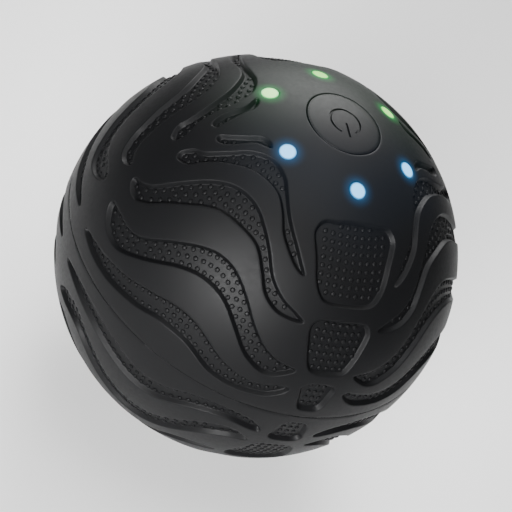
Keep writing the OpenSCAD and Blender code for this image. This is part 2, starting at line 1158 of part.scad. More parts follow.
module protection_chips() {
    color("#26282b")
        in_ball()
            for (x = protection_chip_x)
                translate([x, protection_front - protection_size[1] - protection_chip[1], cell_z - 3])
                    cube(protection_chip);
}

// ---------------------------------------------------------------- charging port

module charge_board() {
    color("#1f6b3f")
        in_ball()
            difference() {
                translate([-charge_size[0] / 2, charge_front - charge_size[1], charge_top - charge_size[2]])
                    cube(charge_size);
                for (side = [-1, 1])
                    translate([side * charge_post[0], charge_post[1], charge_top - 5])
                        cylinder(h = 10, r = small_screw_r + 0.2);
            }
}

// Metal shell of the charging socket, open at the back of the ball
module charge_socket() {
    color("#c8cbcf")
        in_ball()
            translate([0, port_face - socket_size[1], -port_drop])
                rotate([-90, 0, 0])
                    difference() {
                        linear_extrude(height = socket_size[1])
                            obround(socket_size[0], socket_size[2]);
                        translate([0, 0, 1])
                            linear_extrude(height = socket_size[1])
                                obround(socket_size[0] - 2 * socket_wall, socket_size[2] - 2 * socket_wall);
                    }
}

// Tongue with the contacts, inside the charging socket
module charge_contacts() {
    color("#2a2b2d")
        in_ball()
            translate([
                -contact_size[0] / 2,
                port_face - socket_size[1] + 1,
                -port_drop - contact_size[2] / 2
            ])
                cube(contact_size);
}

module charge_chips() {
    color("#26282b")
        in_ball()
            for (chip = charge_chip_places)
                translate([chip[0][0], chip[0][1], charge_top])
                    cube(chip[1]);
}

module charge_screws() {
    color("#9a9da1")
        in_ball()
            for (side = [-1, 1])
                translate([side * charge_post[0], charge_post[1], charge_top])
                    mirror([0, 0, 1])
                        screw(small_screw_r, 6);
}

// ---------------------------------------------------------------- leads

module motor_lead_red() {
    color("#b3261e")
        in_ball()
            lead(motor_route, lead_d);
}

module motor_lead_black() {
    color("#1d1d1f")
        in_ball()
            lead(mirrored(motor_route, [1, -1]), lead_d);
}

module battery_lead_red() {
    color("#b3261e")
        in_ball()
            lead(battery_route, lead_d);
}

module battery_lead_black() {
    color("#1d1d1f")
        in_ball()
            lead(mirrored(battery_route, [-1, 1]), lead_d);
}

module charge_lead_red() {
    color("#b3261e")
        in_ball()
            lead(charge_route, thin_lead_d);
}

module charge_lead_black() {
    color("#1d1d1f")
        in_ball()
            translate([-1.6, 0, 0])
                lead(charge_route, thin_lead_d);
}

// ---------------------------------------------------------------- what is shown

upper_skin();
lower_skin();
upper_shell();
lower_shell();
shell_seal();
power_button();
blue_light_pipes();
green_light_pipes();
control_board();
blue_leds();
green_leds();
board_chips();
switch_body();
switch_plunger();
motor_connector();
battery_connector();
charge_connector();
board_screws();
motor_can();
motor_end_cap();
motor_magnets();
left_bearing();
right_bearing();
motor_brushes();
motor_terminals();
motor_shaft();
armature_core();
armature_windings();
commutator();
left_weight();
right_weight();
weight_screws();
motor_cradle();
motor_clamps();
motor_bands();
clamp_screws();
cradle_screws();
front_cell();
back_cell();
cell_sleeves();
cell_tabs();
battery_foam();
protection_board();
protection_chips();
charge_board();
charge_socket();
charge_contacts();
charge_chips();
charge_screws();
shell_screws();
motor_lead_red();
motor_lead_black();
battery_lead_red();
battery_lead_black();
charge_lead_red();
charge_lead_black();
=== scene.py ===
"""Vibrating massage ball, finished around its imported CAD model.

The ball's silicone skin comes in an upper and a lower half that meet at the middle.
Both carry the same sunk tread: a column of tapering pads at the front and the back,
and wavy bands between them, all filled with small studs. At the back of the lower half
two pads make room for the charging port. The button's cap is made anew, and the lights
and everything inside keep their CAD shapes. Lengths are in millimetres until a mesh is
made, and in metres after that.
"""

import json
import logging
import math
from dataclasses import dataclass, field
from enum import Enum

import bpy
import numpy as np
from mathutils import Matrix, Vector
from mathutils.geometry import delaunay_2d_cdt


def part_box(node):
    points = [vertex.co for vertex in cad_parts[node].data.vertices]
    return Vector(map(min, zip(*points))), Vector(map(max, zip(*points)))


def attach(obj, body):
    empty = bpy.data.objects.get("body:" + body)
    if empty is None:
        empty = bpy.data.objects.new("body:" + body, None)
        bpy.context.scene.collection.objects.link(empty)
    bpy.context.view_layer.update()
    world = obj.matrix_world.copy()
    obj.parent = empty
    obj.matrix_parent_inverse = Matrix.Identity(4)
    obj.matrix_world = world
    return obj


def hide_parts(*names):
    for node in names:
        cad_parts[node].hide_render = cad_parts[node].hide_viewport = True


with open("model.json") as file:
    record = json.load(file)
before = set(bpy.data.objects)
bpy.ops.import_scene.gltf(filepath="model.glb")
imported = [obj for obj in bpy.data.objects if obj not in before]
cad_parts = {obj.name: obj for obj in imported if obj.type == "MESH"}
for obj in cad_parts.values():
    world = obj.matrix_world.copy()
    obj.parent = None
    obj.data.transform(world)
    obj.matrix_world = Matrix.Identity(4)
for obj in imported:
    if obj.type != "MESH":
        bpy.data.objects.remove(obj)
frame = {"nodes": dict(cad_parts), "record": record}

MM = 0.001
LOG = logging.getLogger("massage_ball")


class Side(Enum):
    """Which half of the ball a piece belongs to."""

    UPPER = 1
    LOWER = -1


class Lattice(Enum):
    """How the studs of one band line up."""

    ROWS = "rows"
    COLUMNS = "columns"
    GRID = "grid"


# ---------------------------------------------------------------- sizes


@dataclass(frozen=True)
class BallSizes:
    """Sizes of the ball, in millimetres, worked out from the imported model.

    Attributes:
        radius: Outer radius of the skin.
        inner: Inner radius of the skin.
        height: Height of the ball's centre above the floor.
        seam: Gap between the two halves of the skin.
        button_hole: Radius of the hole for the button.
        light_polar: Angle between the button's axis and each light, in degrees.
        light_hole: Radius of the hole for one light.
        port: Width, height and corner radius of the plug recess.
        port_drop: Depth of the plug recess below the ball's centre.
    """

    radius: float
    inner: float
    height: float
    seam: float
    button_hole: float = 11.7
    light_polar: float = 22.0
    light_hole: float = 2.55
    port: tuple[float, float, float] = (13.0, 7.6, 3.0)
    port_drop: float = 16.0

    @classmethod
    def from_frame(cls) -> "BallSizes":
        """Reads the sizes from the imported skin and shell.

        Returns:
            The ball's sizes.
        """
        low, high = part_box("upper_skin")
        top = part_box("lower_skin")[1]
        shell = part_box("upper_shell")
        return cls(
            radius=(high.x - low.x) / 2 / MM,
            inner=(shell[1].x - shell[0].x) / 2 / MM,
            height=(low.z + top.z) / 2 / MM,
            seam=(low.z - top.z) / MM,
        )

    @property
    def base_polar(self) -> float:
        """Angle of the standing flat's edge from the lower pole, in degrees."""
        return math.degrees(math.acos(self.height / self.radius))

    def flat(self, angles: np.ndarray) -> np.ndarray:
        """Lays points of one quarter of the ball out in a plane, true to shape.

        Args:
            angles: Rows of (around from the front, down from the pole), in degrees.

        Returns:
            Rows of plane coordinates; the front line is x = 0, the side line y = 0.
        """
        around, down = np.radians(angles).T
        reach = 2 * self.radius * np.tan(down / 2)
        return np.column_stack([reach * np.sin(around), reach * np.cos(around)])

    def flat_from_direction(self, directions: np.ndarray) -> np.ndarray:
        """Lays rows of unit directions, z towards the pole, out in the same plane."""
        share = 2 * self.radius / (1 + directions[:, 2])
        return np.column_stack([directions[:, 0] * share, -directions[:, 1] * share])

    def direction(self, plane: np.ndarray) -> np.ndarray:
        """Turns plane coordinates back into directions.

        Args:
            plane: Rows of plane coordinates.

        Returns:
            Rows of unit vectors, z towards the pole.
        """
        half = plane / (2 * self.radius)
        square = (half**2).sum(1)
        scaled = np.column_stack([2 * half[:, 0], -2 * half[:, 1], 1 - square])
        return scaled / (1 + square)[:, None]

    def shrink(self, plane: np.ndarray) -> np.ndarray:
        """Length on the ball of one plane millimetre, at each plane point."""
        return 1 / (1 + ((plane / (2 * self.radius)) ** 2).sum(1))


# ---------------------------------------------------------------- tread


@dataclass(frozen=True)
class Outline:
    """Closed outline of one sunk pad or band, in degrees on one quarter of the ball.

    Attributes:
        name: What the outline is called.
        corners: Points (around from the front, down from the pole) it passes through.
        lattice: How its studs line up.
        pitch: Distance between its rows or columns of studs, in millimetres.
        first: Where the first row of studs lies, in degrees down from the pole, or None.
        halved: True if only the half at one side of the front line is given.
    """

    name: str
    corners: tuple[tuple[float, float], ...]
    lattice: Lattice
    pitch: float = 2.4
    first: float | None = None
    halved: bool = False

    def path(self, ball: BallSizes, step: float, soften: float) -> np.ndarray:
        """Smooth closed path through the corners.

        Args:
            ball: The ball's sizes.
            step: Distance between the path's points on the ball.
            soften: Length over which the corners are rounded.

        Returns:
            Plane points, anticlockwise, not repeated at the end.
        """
        corners = np.array(self.corners)
        if self.halved:
            inner = corners[corners[:, 0] > 0][::-1] * (-1, 1)
            corners = np.vstack([corners, inner])
        points = even_path(closed_spline(ball.flat(corners)), ball, soften / 4)
        points = even_path(rounded(points, 4), ball, step)
        x, y = points.T
        area = (x * np.roll(y, -1) - np.roll(x, -1) * y).sum()
        return points if area > 0 else points[::-1]


def closed_spline(corners: np.ndarray, spans: int = 12) -> np.ndarray:
    """Passes a smooth closed curve through corners.

    Args:
        corners: Rows of plane points.
        spans: How many points each stretch between two corners gets.

    Returns:
        Rows of plane points.
    """
    before, here = np.roll(corners, 1, 0), corners
    after, beyond = np.roll(corners, -1, 0), np.roll(corners, -2, 0)
    stretches = ((before, here), (here, after), (after, beyond))
    gaps = [np.sqrt(np.linalg.norm(b - a, axis=1)) for a, b in stretches]
    t0 = np.zeros(len(corners))
    t1 = t0 + gaps[0]
    t2 = t1 + gaps[1]
    t3 = t2 + gaps[2]
    share = np.arange(spans) / spans
    t = (t1[:, None] + (t2 - t1)[:, None] * share)[..., None]
    t0, t1, t2, t3 = (x[:, None, None] for x in (t0, t1, t2, t3))
    before, here, after, beyond = (x[:, None] for x in (before, here, after, beyond))
    a1 = (t1 - t) / (t1 - t0) * before + (t - t0) / (t1 - t0) * here
    a2 = (t2 - t) / (t2 - t1) * here + (t - t1) / (t2 - t1) * after
    a3 = (t3 - t) / (t3 - t2) * after + (t - t2) / (t3 - t2) * beyond
    b1 = (t2 - t) / (t2 - t0) * a1 + (t - t0) / (t2 - t0) * a2
    b2 = (t3 - t) / (t3 - t1) * a2 + (t - t1) / (t3 - t1) * a3
    return ((t2 - t) / (t2 - t1) * b1 + (t - t1) / (t2 - t1) * b2).reshape(-1, 2)


def even_path(points: np.ndarray, ball: BallSizes, step: float) -> np.ndarray:
    """Spaces the points of a closed path evenly, as measured on the ball.

    Args:
        points: Rows of plane points.
        ball: The ball's sizes.
        step: Distance between two points.

    Returns:
        Rows of plane points, at least eight.
    """
    ring = np.vstack([points, points[:1]])
    middle = (ring[1:] + ring[:-1]) / 2
    lengths = np.linalg.norm(np.diff(ring, axis=0), axis=1) * ball.shrink(middle)
    along = np.concatenate([[0], np.cumsum(lengths)])
    places = np.linspace(0, along[-1], max(8, round(along[-1] / step)), endpoint=False)
    return np.column_stack([np.interp(places, along, ring[:, axis]) for axis in (0, 1)])


def rounded(points: np.ndarray, spread: int) -> np.ndarray:
    """Rounds a closed path with a bell-shaped mean over its neighbours.

    Args:
        points: Rows of evenly spaced plane points.
        spread: Width of the bell, as a number of points.

    Returns:
        Rows of plane points.
    """
    reach = np.arange(-3 * spread, 3 * spread + 1)
    weights = np.exp(-0.5 * (reach / spread) ** 2)
    weights /= weights.sum()
    return sum(weight * np.roll(points, -shift, 0) for weight, shift in zip(weights, reach))


def edge_distance(points: np.ndarray, path: np.ndarray) -> np.ndarray:
    """Distance in the plane from each point to a closed path.

    Args:
        points: Rows of plane points.
        path: Rows of the path's points.

    Returns:
        One distance for each point.
    """
    batch = 1000  # points measured at a time, which keeps the tables small
    ends = np.roll(path, -1, 0) - path
    squares = (ends**2).sum(1)
    found = []
    for start in range(0, len(points), batch):
        offset = points[start:start + batch, None] - path
        share = np.clip((offset * ends).sum(-1) / squares, 0, 1)
        found.append(np.sqrt(((offset - share[..., None] * ends) ** 2).sum(-1)).min(1))
    return np.concatenate(found) if found else np.zeros(0)


def is_inside(points: np.ndarray, path: np.ndarray) -> np.ndarray:
    """Tells which points lie inside a closed path.

    Args:
        points: Rows of plane points.
        path: Rows of the path's points.

    Returns:
        True or False for each point.
    """
    level = 1e-12  # rise of a stretch that counts as level
    ends = np.roll(path, -1, 0)
    x, y = points[:, None, 0], points[:, None, 1]
    rise = ends[:, 1] - path[:, 1]
    rise = np.where(np.abs(rise) < level, level, rise)
    straddles = (path[:, 1] > y) != (ends[:, 1] > y)
    left = x < (ends[:, 0] - path[:, 0]) * (y - path[:, 1]) / rise + path[:, 0]
    return (straddles & left).sum(1) % 2 == 1


TREAD_PADS = (
    Outline(
        "tall_pad",
        ((0, 30.7), (7, 31), (12, 31.6), (17, 32), (20, 33.2), (21.6, 36.5), (20, 39),
         (17.2, 43), (14.7, 48), (12.2, 51.5), (9.7, 53.5), (6.5, 54.1), (0, 54.1)),
        Lattice.GRID, 2.4, 32.6, True,
    ),
    Outline(
        "middle_pad",
        ((0, 57.8), (7.5, 58), (9.7, 59), (10.7, 61.5), (9.4, 66), (7.9, 70), (6.7, 72.5),
         (5.2, 73.9), (0, 74.4)),
        Lattice.GRID, 2.3, 59.4, True,
    ),
    Outline(
        "small_pad",
        ((0, 77.2), (4.4, 77.8), (5.6, 79.3), (4.9, 82), (4.3, 85), (3.1, 87), (0, 87.4)),
        Lattice.GRID, 2.2, 78.9, True,
    ),
)

TREAD_BANDS = (
    Outline(
        "hook",
        ((66.7, 25), (70, 24.1), (74.2, 24.2), (79.2, 25.8), (81.2, 28), (85.7, 33.2), (88, 36.3),
         (85.2, 37.6), (82, 36), (79.2, 33), (75.2, 27.8), (70, 26.1)),
        Lattice.ROWS, 2.3, 26.4,
    ),
    Outline(
        "first_arch",
        ((87.4, 47.5), (85.2, 43), (82.7, 41.6), (77.7, 35.8), (72.2, 30), (61.2, 26.3), (54, 26.4),
         (46.2, 28), (43.2, 29.5), (33.2, 36.2), (22.2, 44.5), (18.2, 48.8), (22.2, 48), (32.7, 41.5),
         (38.5, 36.4), (45.2, 33), (53, 32.2), (62.2, 33.2), (70, 36.4), (75.2, 40), (79.2, 45),
         (79.7, 46.5), (84.2, 49), (86.2, 48.9)),
        Lattice.ROWS, 2.4, 28.2,
    ),
    Outline(
        "second_arch",
        ((87.7, 62.5), (87.2, 61.5), (85.7, 61), (83.2, 59.8), (80.7, 57.6), (75.2, 49.8), (69.5, 43.5),
         (63.2, 39.7), (55.2, 38.2), (47.2, 39), (40.5, 41.8), (34.2, 46), (28.2, 52), (22.2, 56),
         (16.2, 58.4), (12.7, 60.4), (15.2, 61.1), (22.2, 60.6), (28.2, 57.7), (32.5, 53.2), (37.2, 49),
         (40.2, 47.4), (48, 46.3), (57.2, 47), (62.5, 49.2), (67.2, 52.7), (73.2, 58), (75.2, 60.5),
         (80.2, 64.5), (83.2, 65), (86.2, 64)),
        Lattice.ROWS, 2.4, 40,
    ),
    Outline(
        "third_arch",
        ((85.7, 72.2), (83.2, 74.8), (80.2, 76.3), (77.2, 77), (74.2, 77), (71.2, 76.2), (63.2, 71.3),
         (54.2, 65.5), (48.2, 63.5), (42.2, 63.5), (37.2, 65.2), (31.2, 69.7), (25.2, 75), (19.2, 78),
         (16.2, 78.3), (13.2, 77.4), (8.9, 74.3), (15.2, 72.8), (20.7, 70.2), (26.2, 65.8), (32.2, 60.3),
         (36.5, 57.3), (41.2, 55.3), (47.2, 54.8), (51.5, 55.8), (56.2, 58), (62.2, 62), (68.2, 67),
         (71.2, 68.8), (75.2, 69.8), (85.7, 70.8)),
        Lattice.COLUMNS, 2.45,
    ),
    Outline(
        "low_wave",
        ((86.3, 83.2), (80, 81.8), (75, 80.9), (65, 78.6), (55, 75.4), (50, 74), (45, 73.5), (40, 74.3),
         (30, 79), (24, 81), (18, 81.4), (12, 80.2), (9.5, 79.8), (8.2, 80.3), (8.4, 81.6), (12.5, 84.7),
         (17, 85.8), (21.2, 86.2), (25.2, 86.1), (31.2, 85), (40.2, 81.2), (45, 80.7), (50.2, 81),
         (57.2, 83), (67.2, 84.8), (73.2, 85.3), (79.2, 85.2), (86, 84)),
        Lattice.COLUMNS, 2.45,
    ),
)


@dataclass
class Tread:
    """The sunk pads and bands of one quarter of the skin, and their studs.

    Attributes:
        ball: The ball's sizes.
        outlines: The outlines of the pads and bands.
        depth: How far the floor of the tread lies below the skin's surface.
        wall: Width of the sloping wall at each edge.
        wall_round: Share of the wall that is rounded at its top, and again at its foot.
        step: Distance between points along an outline.
        soften: Length over which an outline's corners are rounded.
        rows: Distances inwards from the outline at which the wall gets points.
        stud_margin: Least distance from an outline to a stud's centre.
        grid_margin: The same for the pads' square grids, as a share of stud_margin.
        line_margin: Least distance from the front line to a point beside it, in the plane.
        fine: Step in degrees at which a line is tested for room for studs.
        squeeze: Share of a stud's pitch that may lack for one more stud on a line.
        reach: Distance from the outlines up to which depths are measured.
        paths: The outlines as closed plane paths.
    """

    ball: BallSizes
    outlines: tuple[Outline, ...]
    depth: float = 1.3
    wall: float = 1.0
    wall_round: float = 0.18
    step: float = 0.55
    soften: float = 0.6
    rows: tuple[float, ...] = (-0.5, 0, 0.09, 0.18, 0.36, 0.64, 0.82, 0.91, 1.0, 1.3)
    stud_margin: float = 1.5
    grid_margin: float = 0.93
    line_margin: float = 0.35
    fine: float = 0.1
    squeeze: float = 0.3
    reach: float = 9.0
    paths: list[np.ndarray] = field(init=False)

    def __post_init__(self) -> None:
        """Works the outlines' paths out once."""
        self.paths = [o.path(self.ball, self.step, self.soften) for o in self.outlines]
        LOG.info("tread of %s", ", ".join(outline.name for outline in self.outlines))

    def depth_inside(self, plane: np.ndarray) -> np.ndarray:
        """Distance of each point inwards from the nearest outline, below 0 outside.

        Args:
            plane: Rows of plane points.

        Returns:
            Millimetres on the ball, never below minus the reach.
        """
        inside = np.full(len(plane), -self.reach)
        shrink = self.ball.shrink(plane)
        for path in self.paths:
            low, high = path.min(0) - 2 * self.reach, path.max(0) + 2 * self.reach
            near = np.flatnonzero(((plane > low) & (plane < high)).all(1))
            distance = edge_distance(plane[near], path) * shrink[near]
            signed = np.where(is_inside(plane[near], path), distance, -distance)
            inside[near] = np.maximum(inside[near], signed)
        return inside

    def sink(self, inside: np.ndarray) -> np.ndarray:
        """How far the surface lies below the ball: a straight slope, rounded at both ends.

        Args:
            inside: Distances inwards from the outlines.

        Returns:
            One depth for each distance.
        """
        share = np.clip(inside / self.wall, 0, 1)
        near, bend = np.minimum(share, 1 - share), self.wall_round
        curved = near**2 / (2 * bend * (1 - bend))
        straight = (near - bend / 2) / (1 - bend)
        fall = np.where(near < bend, curved, straight)
        return self.depth * np.where(share < 0.5, fall, 1 - fall)

    def wall_points(self) -> np.ndarray:
        """Points along every outline, in rows from the land down to the floor.

        Returns:
            Rows of plane points; a row's point is left out where another wall is nearer.
        """
        found = []
        for path in self.paths:
            along = np.roll(path, -1, 0) - np.roll(path, 1, 0)
            along /= np.linalg.norm(along, axis=1)[:, None]
            inwards = np.column_stack([-along[:, 1], along[:, 0]])
            shrink = self.ball.shrink(path)[:, None]
            for row in self.rows:
                points = path + inwards * row / shrink
                slack = 0.05 + 0.03 * abs(row)
                kept = np.abs(self.depth_inside(points) - row) < slack
                found.append(points[kept & (points[:, 0] > self.line_margin)])
        return np.vstack(found)

    def front_line_points(self, first: float, last: float, spacing: float) -> np.ndarray:
        """Points on the front line, close together where it crosses a wall.

        Args:
            first: Where the line starts, in plane millimetres from the pole.
            last: Where it ends.
            spacing: Distance between points away from the walls.

        Returns:
            Distances from the pole in the plane, in order.
        """
        special = []
        for path, outline in zip(self.paths, self.outlines):
            if not outline.halved:
                continue
            ahead = np.roll(path, -1, 0)
            for a, b in zip(path, ahead):
                if (a[0] > 0) != (b[0] > 0):
                    cut = a[1] + (b[1] - a[1]) * a[0] / (a[0] - b[0])
                    shrink = self.ball.shrink(np.array([[0, cut]]))[0]
                    inwards = 1 if cut < path[:, 1].mean() else -1
                    special += [cut + inwards * row / shrink for row in self.rows]
        return merged_line(first, last, spacing, [s for s in special if first < s < last])

    def studs(self) -> np.ndarray:
        """Centres of the quarter's studs, as plane points."""
        found = [self._band_studs(o, p) for o, p in zip(self.outlines, self.paths)]
        return np.vstack(found)

    def _band_studs(self, outline: Outline, path: np.ndarray) -> np.ndarray:
        """Finds the centres of the studs of one pad or band.

        Args:
            outline: The pad or band.
            path: Its outline in the plane.

        Returns:
            Rows of plane points.
        """
        ball = self.ball
        pitch_angle = math.degrees(outline.pitch / ball.radius)
        directions = ball.direction(path)
        down = np.degrees(np.arccos(directions[:, 2]))
        around = np.degrees(np.arctan2(directions[:, 0], -directions[:, 1]))
        found = []
        if outline.lattice is Lattice.COLUMNS:
            middle_down = math.radians(float(down.mean()))
            column_angle = pitch_angle / math.sin(middle_down)
            columns = math.floor((around.max() - around.min()) / column_angle)
            start = (around.max() + around.min() - columns * column_angle) / 2
            for column in range(columns + 1):
                heights = np.arange(down.min(), down.max(), self.fine)
                angle = start + column * column_angle
                line = np.column_stack([np.full(len(heights), angle), heights])
                found += self._spread(outline, path, line, math.radians(self.fine) * ball.radius)
        else:
            for level in np.arange(outline.first, down.max(), pitch_angle):
                ring = ball.radius * math.sin(math.radians(level))
                if outline.lattice is Lattice.GRID:
                    count = math.floor(math.radians(around.max()) * ring / outline.pitch)
                    places = np.degrees(np.arange(count + 1) * outline.pitch / ring)
                    line = np.column_stack([places, np.full(len(places), level)])
                    flat = ball.flat(line)
                    depth = edge_distance(flat, path) * ball.shrink(flat)
                    roomy = depth > self.grid_margin * self.stud_margin
                    found += list(flat[is_inside(flat, path) & roomy])
                else:
                    places = np.arange(around.min(), around.max(), self.fine)
                    line = np.column_stack([places, np.full(len(places), level)])
                    found += self._spread(outline, path, line, math.radians(self.fine) * ring)
        return np.array(found).reshape(-1, 2)

    def _spread(
        self, outline: Outline, path: np.ndarray, line: np.ndarray, spacing: float
    ) -> list[np.ndarray]:
        """Spaces studs evenly on each stretch of a line that lies well inside a band.

        Args:
            outline: The band.
            path: Its outline in the plane.
            line: Closely spaced points of the line, as angles.
            spacing: Distance on the ball between two points of the line.

        Returns:
            The studs' centres, as plane points.
        """
        flat = self.ball.flat(line)
        depth = edge_distance(flat, path) * self.ball.shrink(flat)
        good = is_inside(flat, path) & (depth > self.stud_margin)
        edges = np.flatnonzero(np.diff(np.concatenate([[0], good.astype(int), [0]])))
        found = []
        for start, end in zip(edges[::2], edges[1::2]):
            length = (end - 1 - start) * spacing
            count = math.floor(length / outline.pitch + self.squeeze) + 1
            if count == 1:
                picks = [start + int(np.argmax(depth[start:end]))]
            else:
                picks = np.linspace(start, end - 1, count).round().astype(int)
            found += [flat[pick] for pick in picks]
        return found


def merged_line(first: float, last: float, spacing: float, special: list[float]) -> np.ndarray:
    """Spaces places evenly from first to last, giving way to special places.

    Args:
        first: The first place.
        last: The last place.
        spacing: Distance between two even places.
        special: Places that have to be there.

    Returns:
        All places, in order.
    """
    least = 0.45 * spacing  # an even place nearer than this to a special one is dropped
    even = np.linspace(first, last, max(2, round((last - first) / spacing) + 1))
    special_places = np.array(sorted(special))
    if len(special_places):
        gaps = np.abs(even[:, None] - special_places).min(1)
        ends = (even == first) | (even == last)
        even = even[ends | (gaps > least)]
    return np.unique(np.concatenate([even, special_places]))


# ---------------------------------------------------------------- mesh helpers


def linked(name: str, data: bpy.types.ID) -> bpy.types.Object:
    """Makes an object and links it to the scene.

    Args:
        name: The object's name.
        data: Its mesh, light or camera.

    Returns:
        The new object.
    """
    made = bpy.data.objects.new(name, data)
    bpy.context.scene.collection.objects.link(made)
    return made


def new_piece(name: str, points: np.ndarray, faces: list, material: bpy.types.Material,
              crease: float = 40.0) -> bpy.types.Object:
    """Makes a smooth-shaded mesh object at the origin.

    Args:
        name: The piece's name.
        points: Rows of coordinates, in metres.
        faces: Vertex numbers of each face, outwards.
        material: The piece's material.
        crease: Edges that bend more than this many degrees stay sharp.

    Returns:
        The new object, linked to the scene.
    """
    mesh = bpy.data.meshes.new(name)
    mesh.from_pydata(points.tolist(), [], [list(map(int, f)) for f in faces])
    mesh.polygons.foreach_set("use_smooth", [True] * len(mesh.polygons))
    mesh.set_sharp_from_angle(angle=math.radians(crease))
    mesh.materials.append(material)
    mesh.update()
    return linked(name, mesh)


def outward(points: np.ndarray, faces: np.ndarray) -> np.ndarray:
    """Turns all faces of a closed shell outwards, if its volume says they point in.

    Args:
        points: Rows of coordinates.
        faces: Rows of three vertex numbers.

    Returns:
        The faces, turned or as they were.
    """
    a, b, c = (points[faces[:, i]] for i in range(3))
    volume = (a * np.cross(b, c)).sum()
    return faces if volume > 0 else faces[:, ::-1]


def triangulate(points: np.ndarray, loops: list[np.ndarray]) -> np.ndarray:
    """Triangles over a convex set of plane points, left open inside the loops.

    Args:
        points: Rows of plane points.
        loops: Vertex numbers along the edge of each opening, convex, in order.

    Returns:
        Rows of three vertex numbers, anticlockwise.
    """
    edges = [(int(a), int(b)) for loop in loops for a, b in zip(loop, loop[1:])]
    made = delaunay_2d_cdt([Vector(p) for p in points], edges, [], 0, 1e-7, True)
    first = np.array([min(origin) for origin in made[3]])
    faces = first[np.array(made[2])]
    for loop in loops:
        faces = faces[~np.isin(faces, loop).all(1)]
    return faces


def mirrored_copies(points: np.ndarray, faces: np.ndarray, signs: list[tuple[int, int]]) -> tuple:
    """Mirrors a quarter about x = 0 and y = 0.

    Args:
        points: Rows of coordinates.
        faces: Rows of three vertex numbers.
        signs: The sign of x and of y for each copy.

    Returns:
        All points and faces, not yet joined.
    """
    all_points, all_faces = [], []
    for index, (sign_x, sign_y) in enumerate(signs):
        all_points.append(points * (sign_x, sign_y, 1))
        turned = faces if sign_x * sign_y > 0 else faces[:, ::-1]
        all_faces.append(turned + index * len(points))
    return np.vstack(all_points), np.vstack(all_faces)


def joined(points: np.ndarray, faces: np.ndarray) -> tuple:
    """Merges points that coincide and drops unused ones.

    Args:
        points: Rows of coordinates.
        faces: Rows of three vertex numbers.

    Returns:
        The points that are left, and the faces with their new numbers.
    """
    cleaned = np.round(points, 6) + 0.0  # the sum turns -0 into 0
    unique, inverse = np.unique(cleaned, axis=0, return_inverse=True)
    faces = inverse.reshape(-1)[faces]
    used, compact = np.unique(faces, return_inverse=True)
    return unique[used], compact.reshape(faces.shape)


# ---------------------------------------------------------------- openings in the skin


@dataclass(frozen=True)
class ButtonOpening:
    """A quarter of the round opening for the button, at the upper pole.

    Attributes:
        ball: The ball's sizes.
        parts: Number of stretches along the quarter.
    """

    ball: BallSizes
    parts: int = 34

    @property
    def axis(self) -> np.ndarray:
        """Direction that the opening's wall runs in, outwards."""
        return np.array([0.0, 0.0, 1.0])

    def edge(self, grown: float) -> np.ndarray:
        """Places points along the edge.

        Args:
            grown: How far outside the edge they lie, in millimetres.

        Returns:
            Rows of unit directions.
        """
        radius = self.ball.button_hole + grown
        angle = np.linspace(0, math.pi / 2, self.parts + 1)
        flat = radius * np.column_stack([np.sin(angle), -np.cos(angle)])
        height = math.sqrt(self.ball.radius**2 - radius**2)
        points = np.column_stack([flat, np.full(len(flat), height)]) / self.ball.radius
        return np.round(points, 12)

    def clearance(self, directions: np.ndarray) -> np.ndarray:
        """Millimetres from each direction to the opening's edge, below 0 inside."""
        return np.hypot(directions[:, 0], directions[:, 1]) * self.ball.radius - self.ball.button_hole


@dataclass(frozen=True)
class LightOpening:
    """Round opening for one light, or half of it where it lies on the front line.

    Attributes:
        ball: The ball's sizes.
        around: Angle of the light round the button from the front, in degrees.
        parts: Number of stretches round the whole opening.
    """

    ball: BallSizes
    around: float
    parts: int = 32

    @property
    def axis(self) -> np.ndarray:
        """Direction that the opening's wall runs in, outwards."""
        down, around = math.radians(self.ball.light_polar), math.radians(self.around)
        return np.array([
            math.sin(down) * math.sin(around), -math.sin(down) * math.cos(around), math.cos(down)
        ])

    def edge(self, grown: float) -> np.ndarray:
        """Places points along the edge.

        Args:
            grown: How far outside the edge they lie, in millimetres.

        Returns:
            Rows of unit directions.
        """
        down, around = math.radians(self.ball.light_polar), math.radians(self.around)
        downhill = np.array([
            math.cos(down) * math.sin(around), -math.cos(down) * math.cos(around), -math.sin(down)
        ])
        sideways = np.array([math.cos(around), math.sin(around), 0.0])
        spread = math.asin((self.ball.light_hole + grown) / self.ball.radius)
        halved = self.around == 0
        share = 0.5 if halved else 1.0
        turn = np.linspace(0, share * 2 * math.pi, round(share * self.parts) + 1)
        rim = np.outer(np.cos(turn), downhill) + np.outer(np.sin(turn), sideways)
        return np.round(math.cos(spread) * self.axis + math.sin(spread) * rim, 12)

    def clearance(self, directions: np.ndarray) -> np.ndarray:
        """Millimetres from each direction to the opening's edge, below 0 inside."""
        apart = np.arccos(np.clip(directions @ self.axis, -1, 1))
        return apart * self.ball.radius - self.ball.light_hole


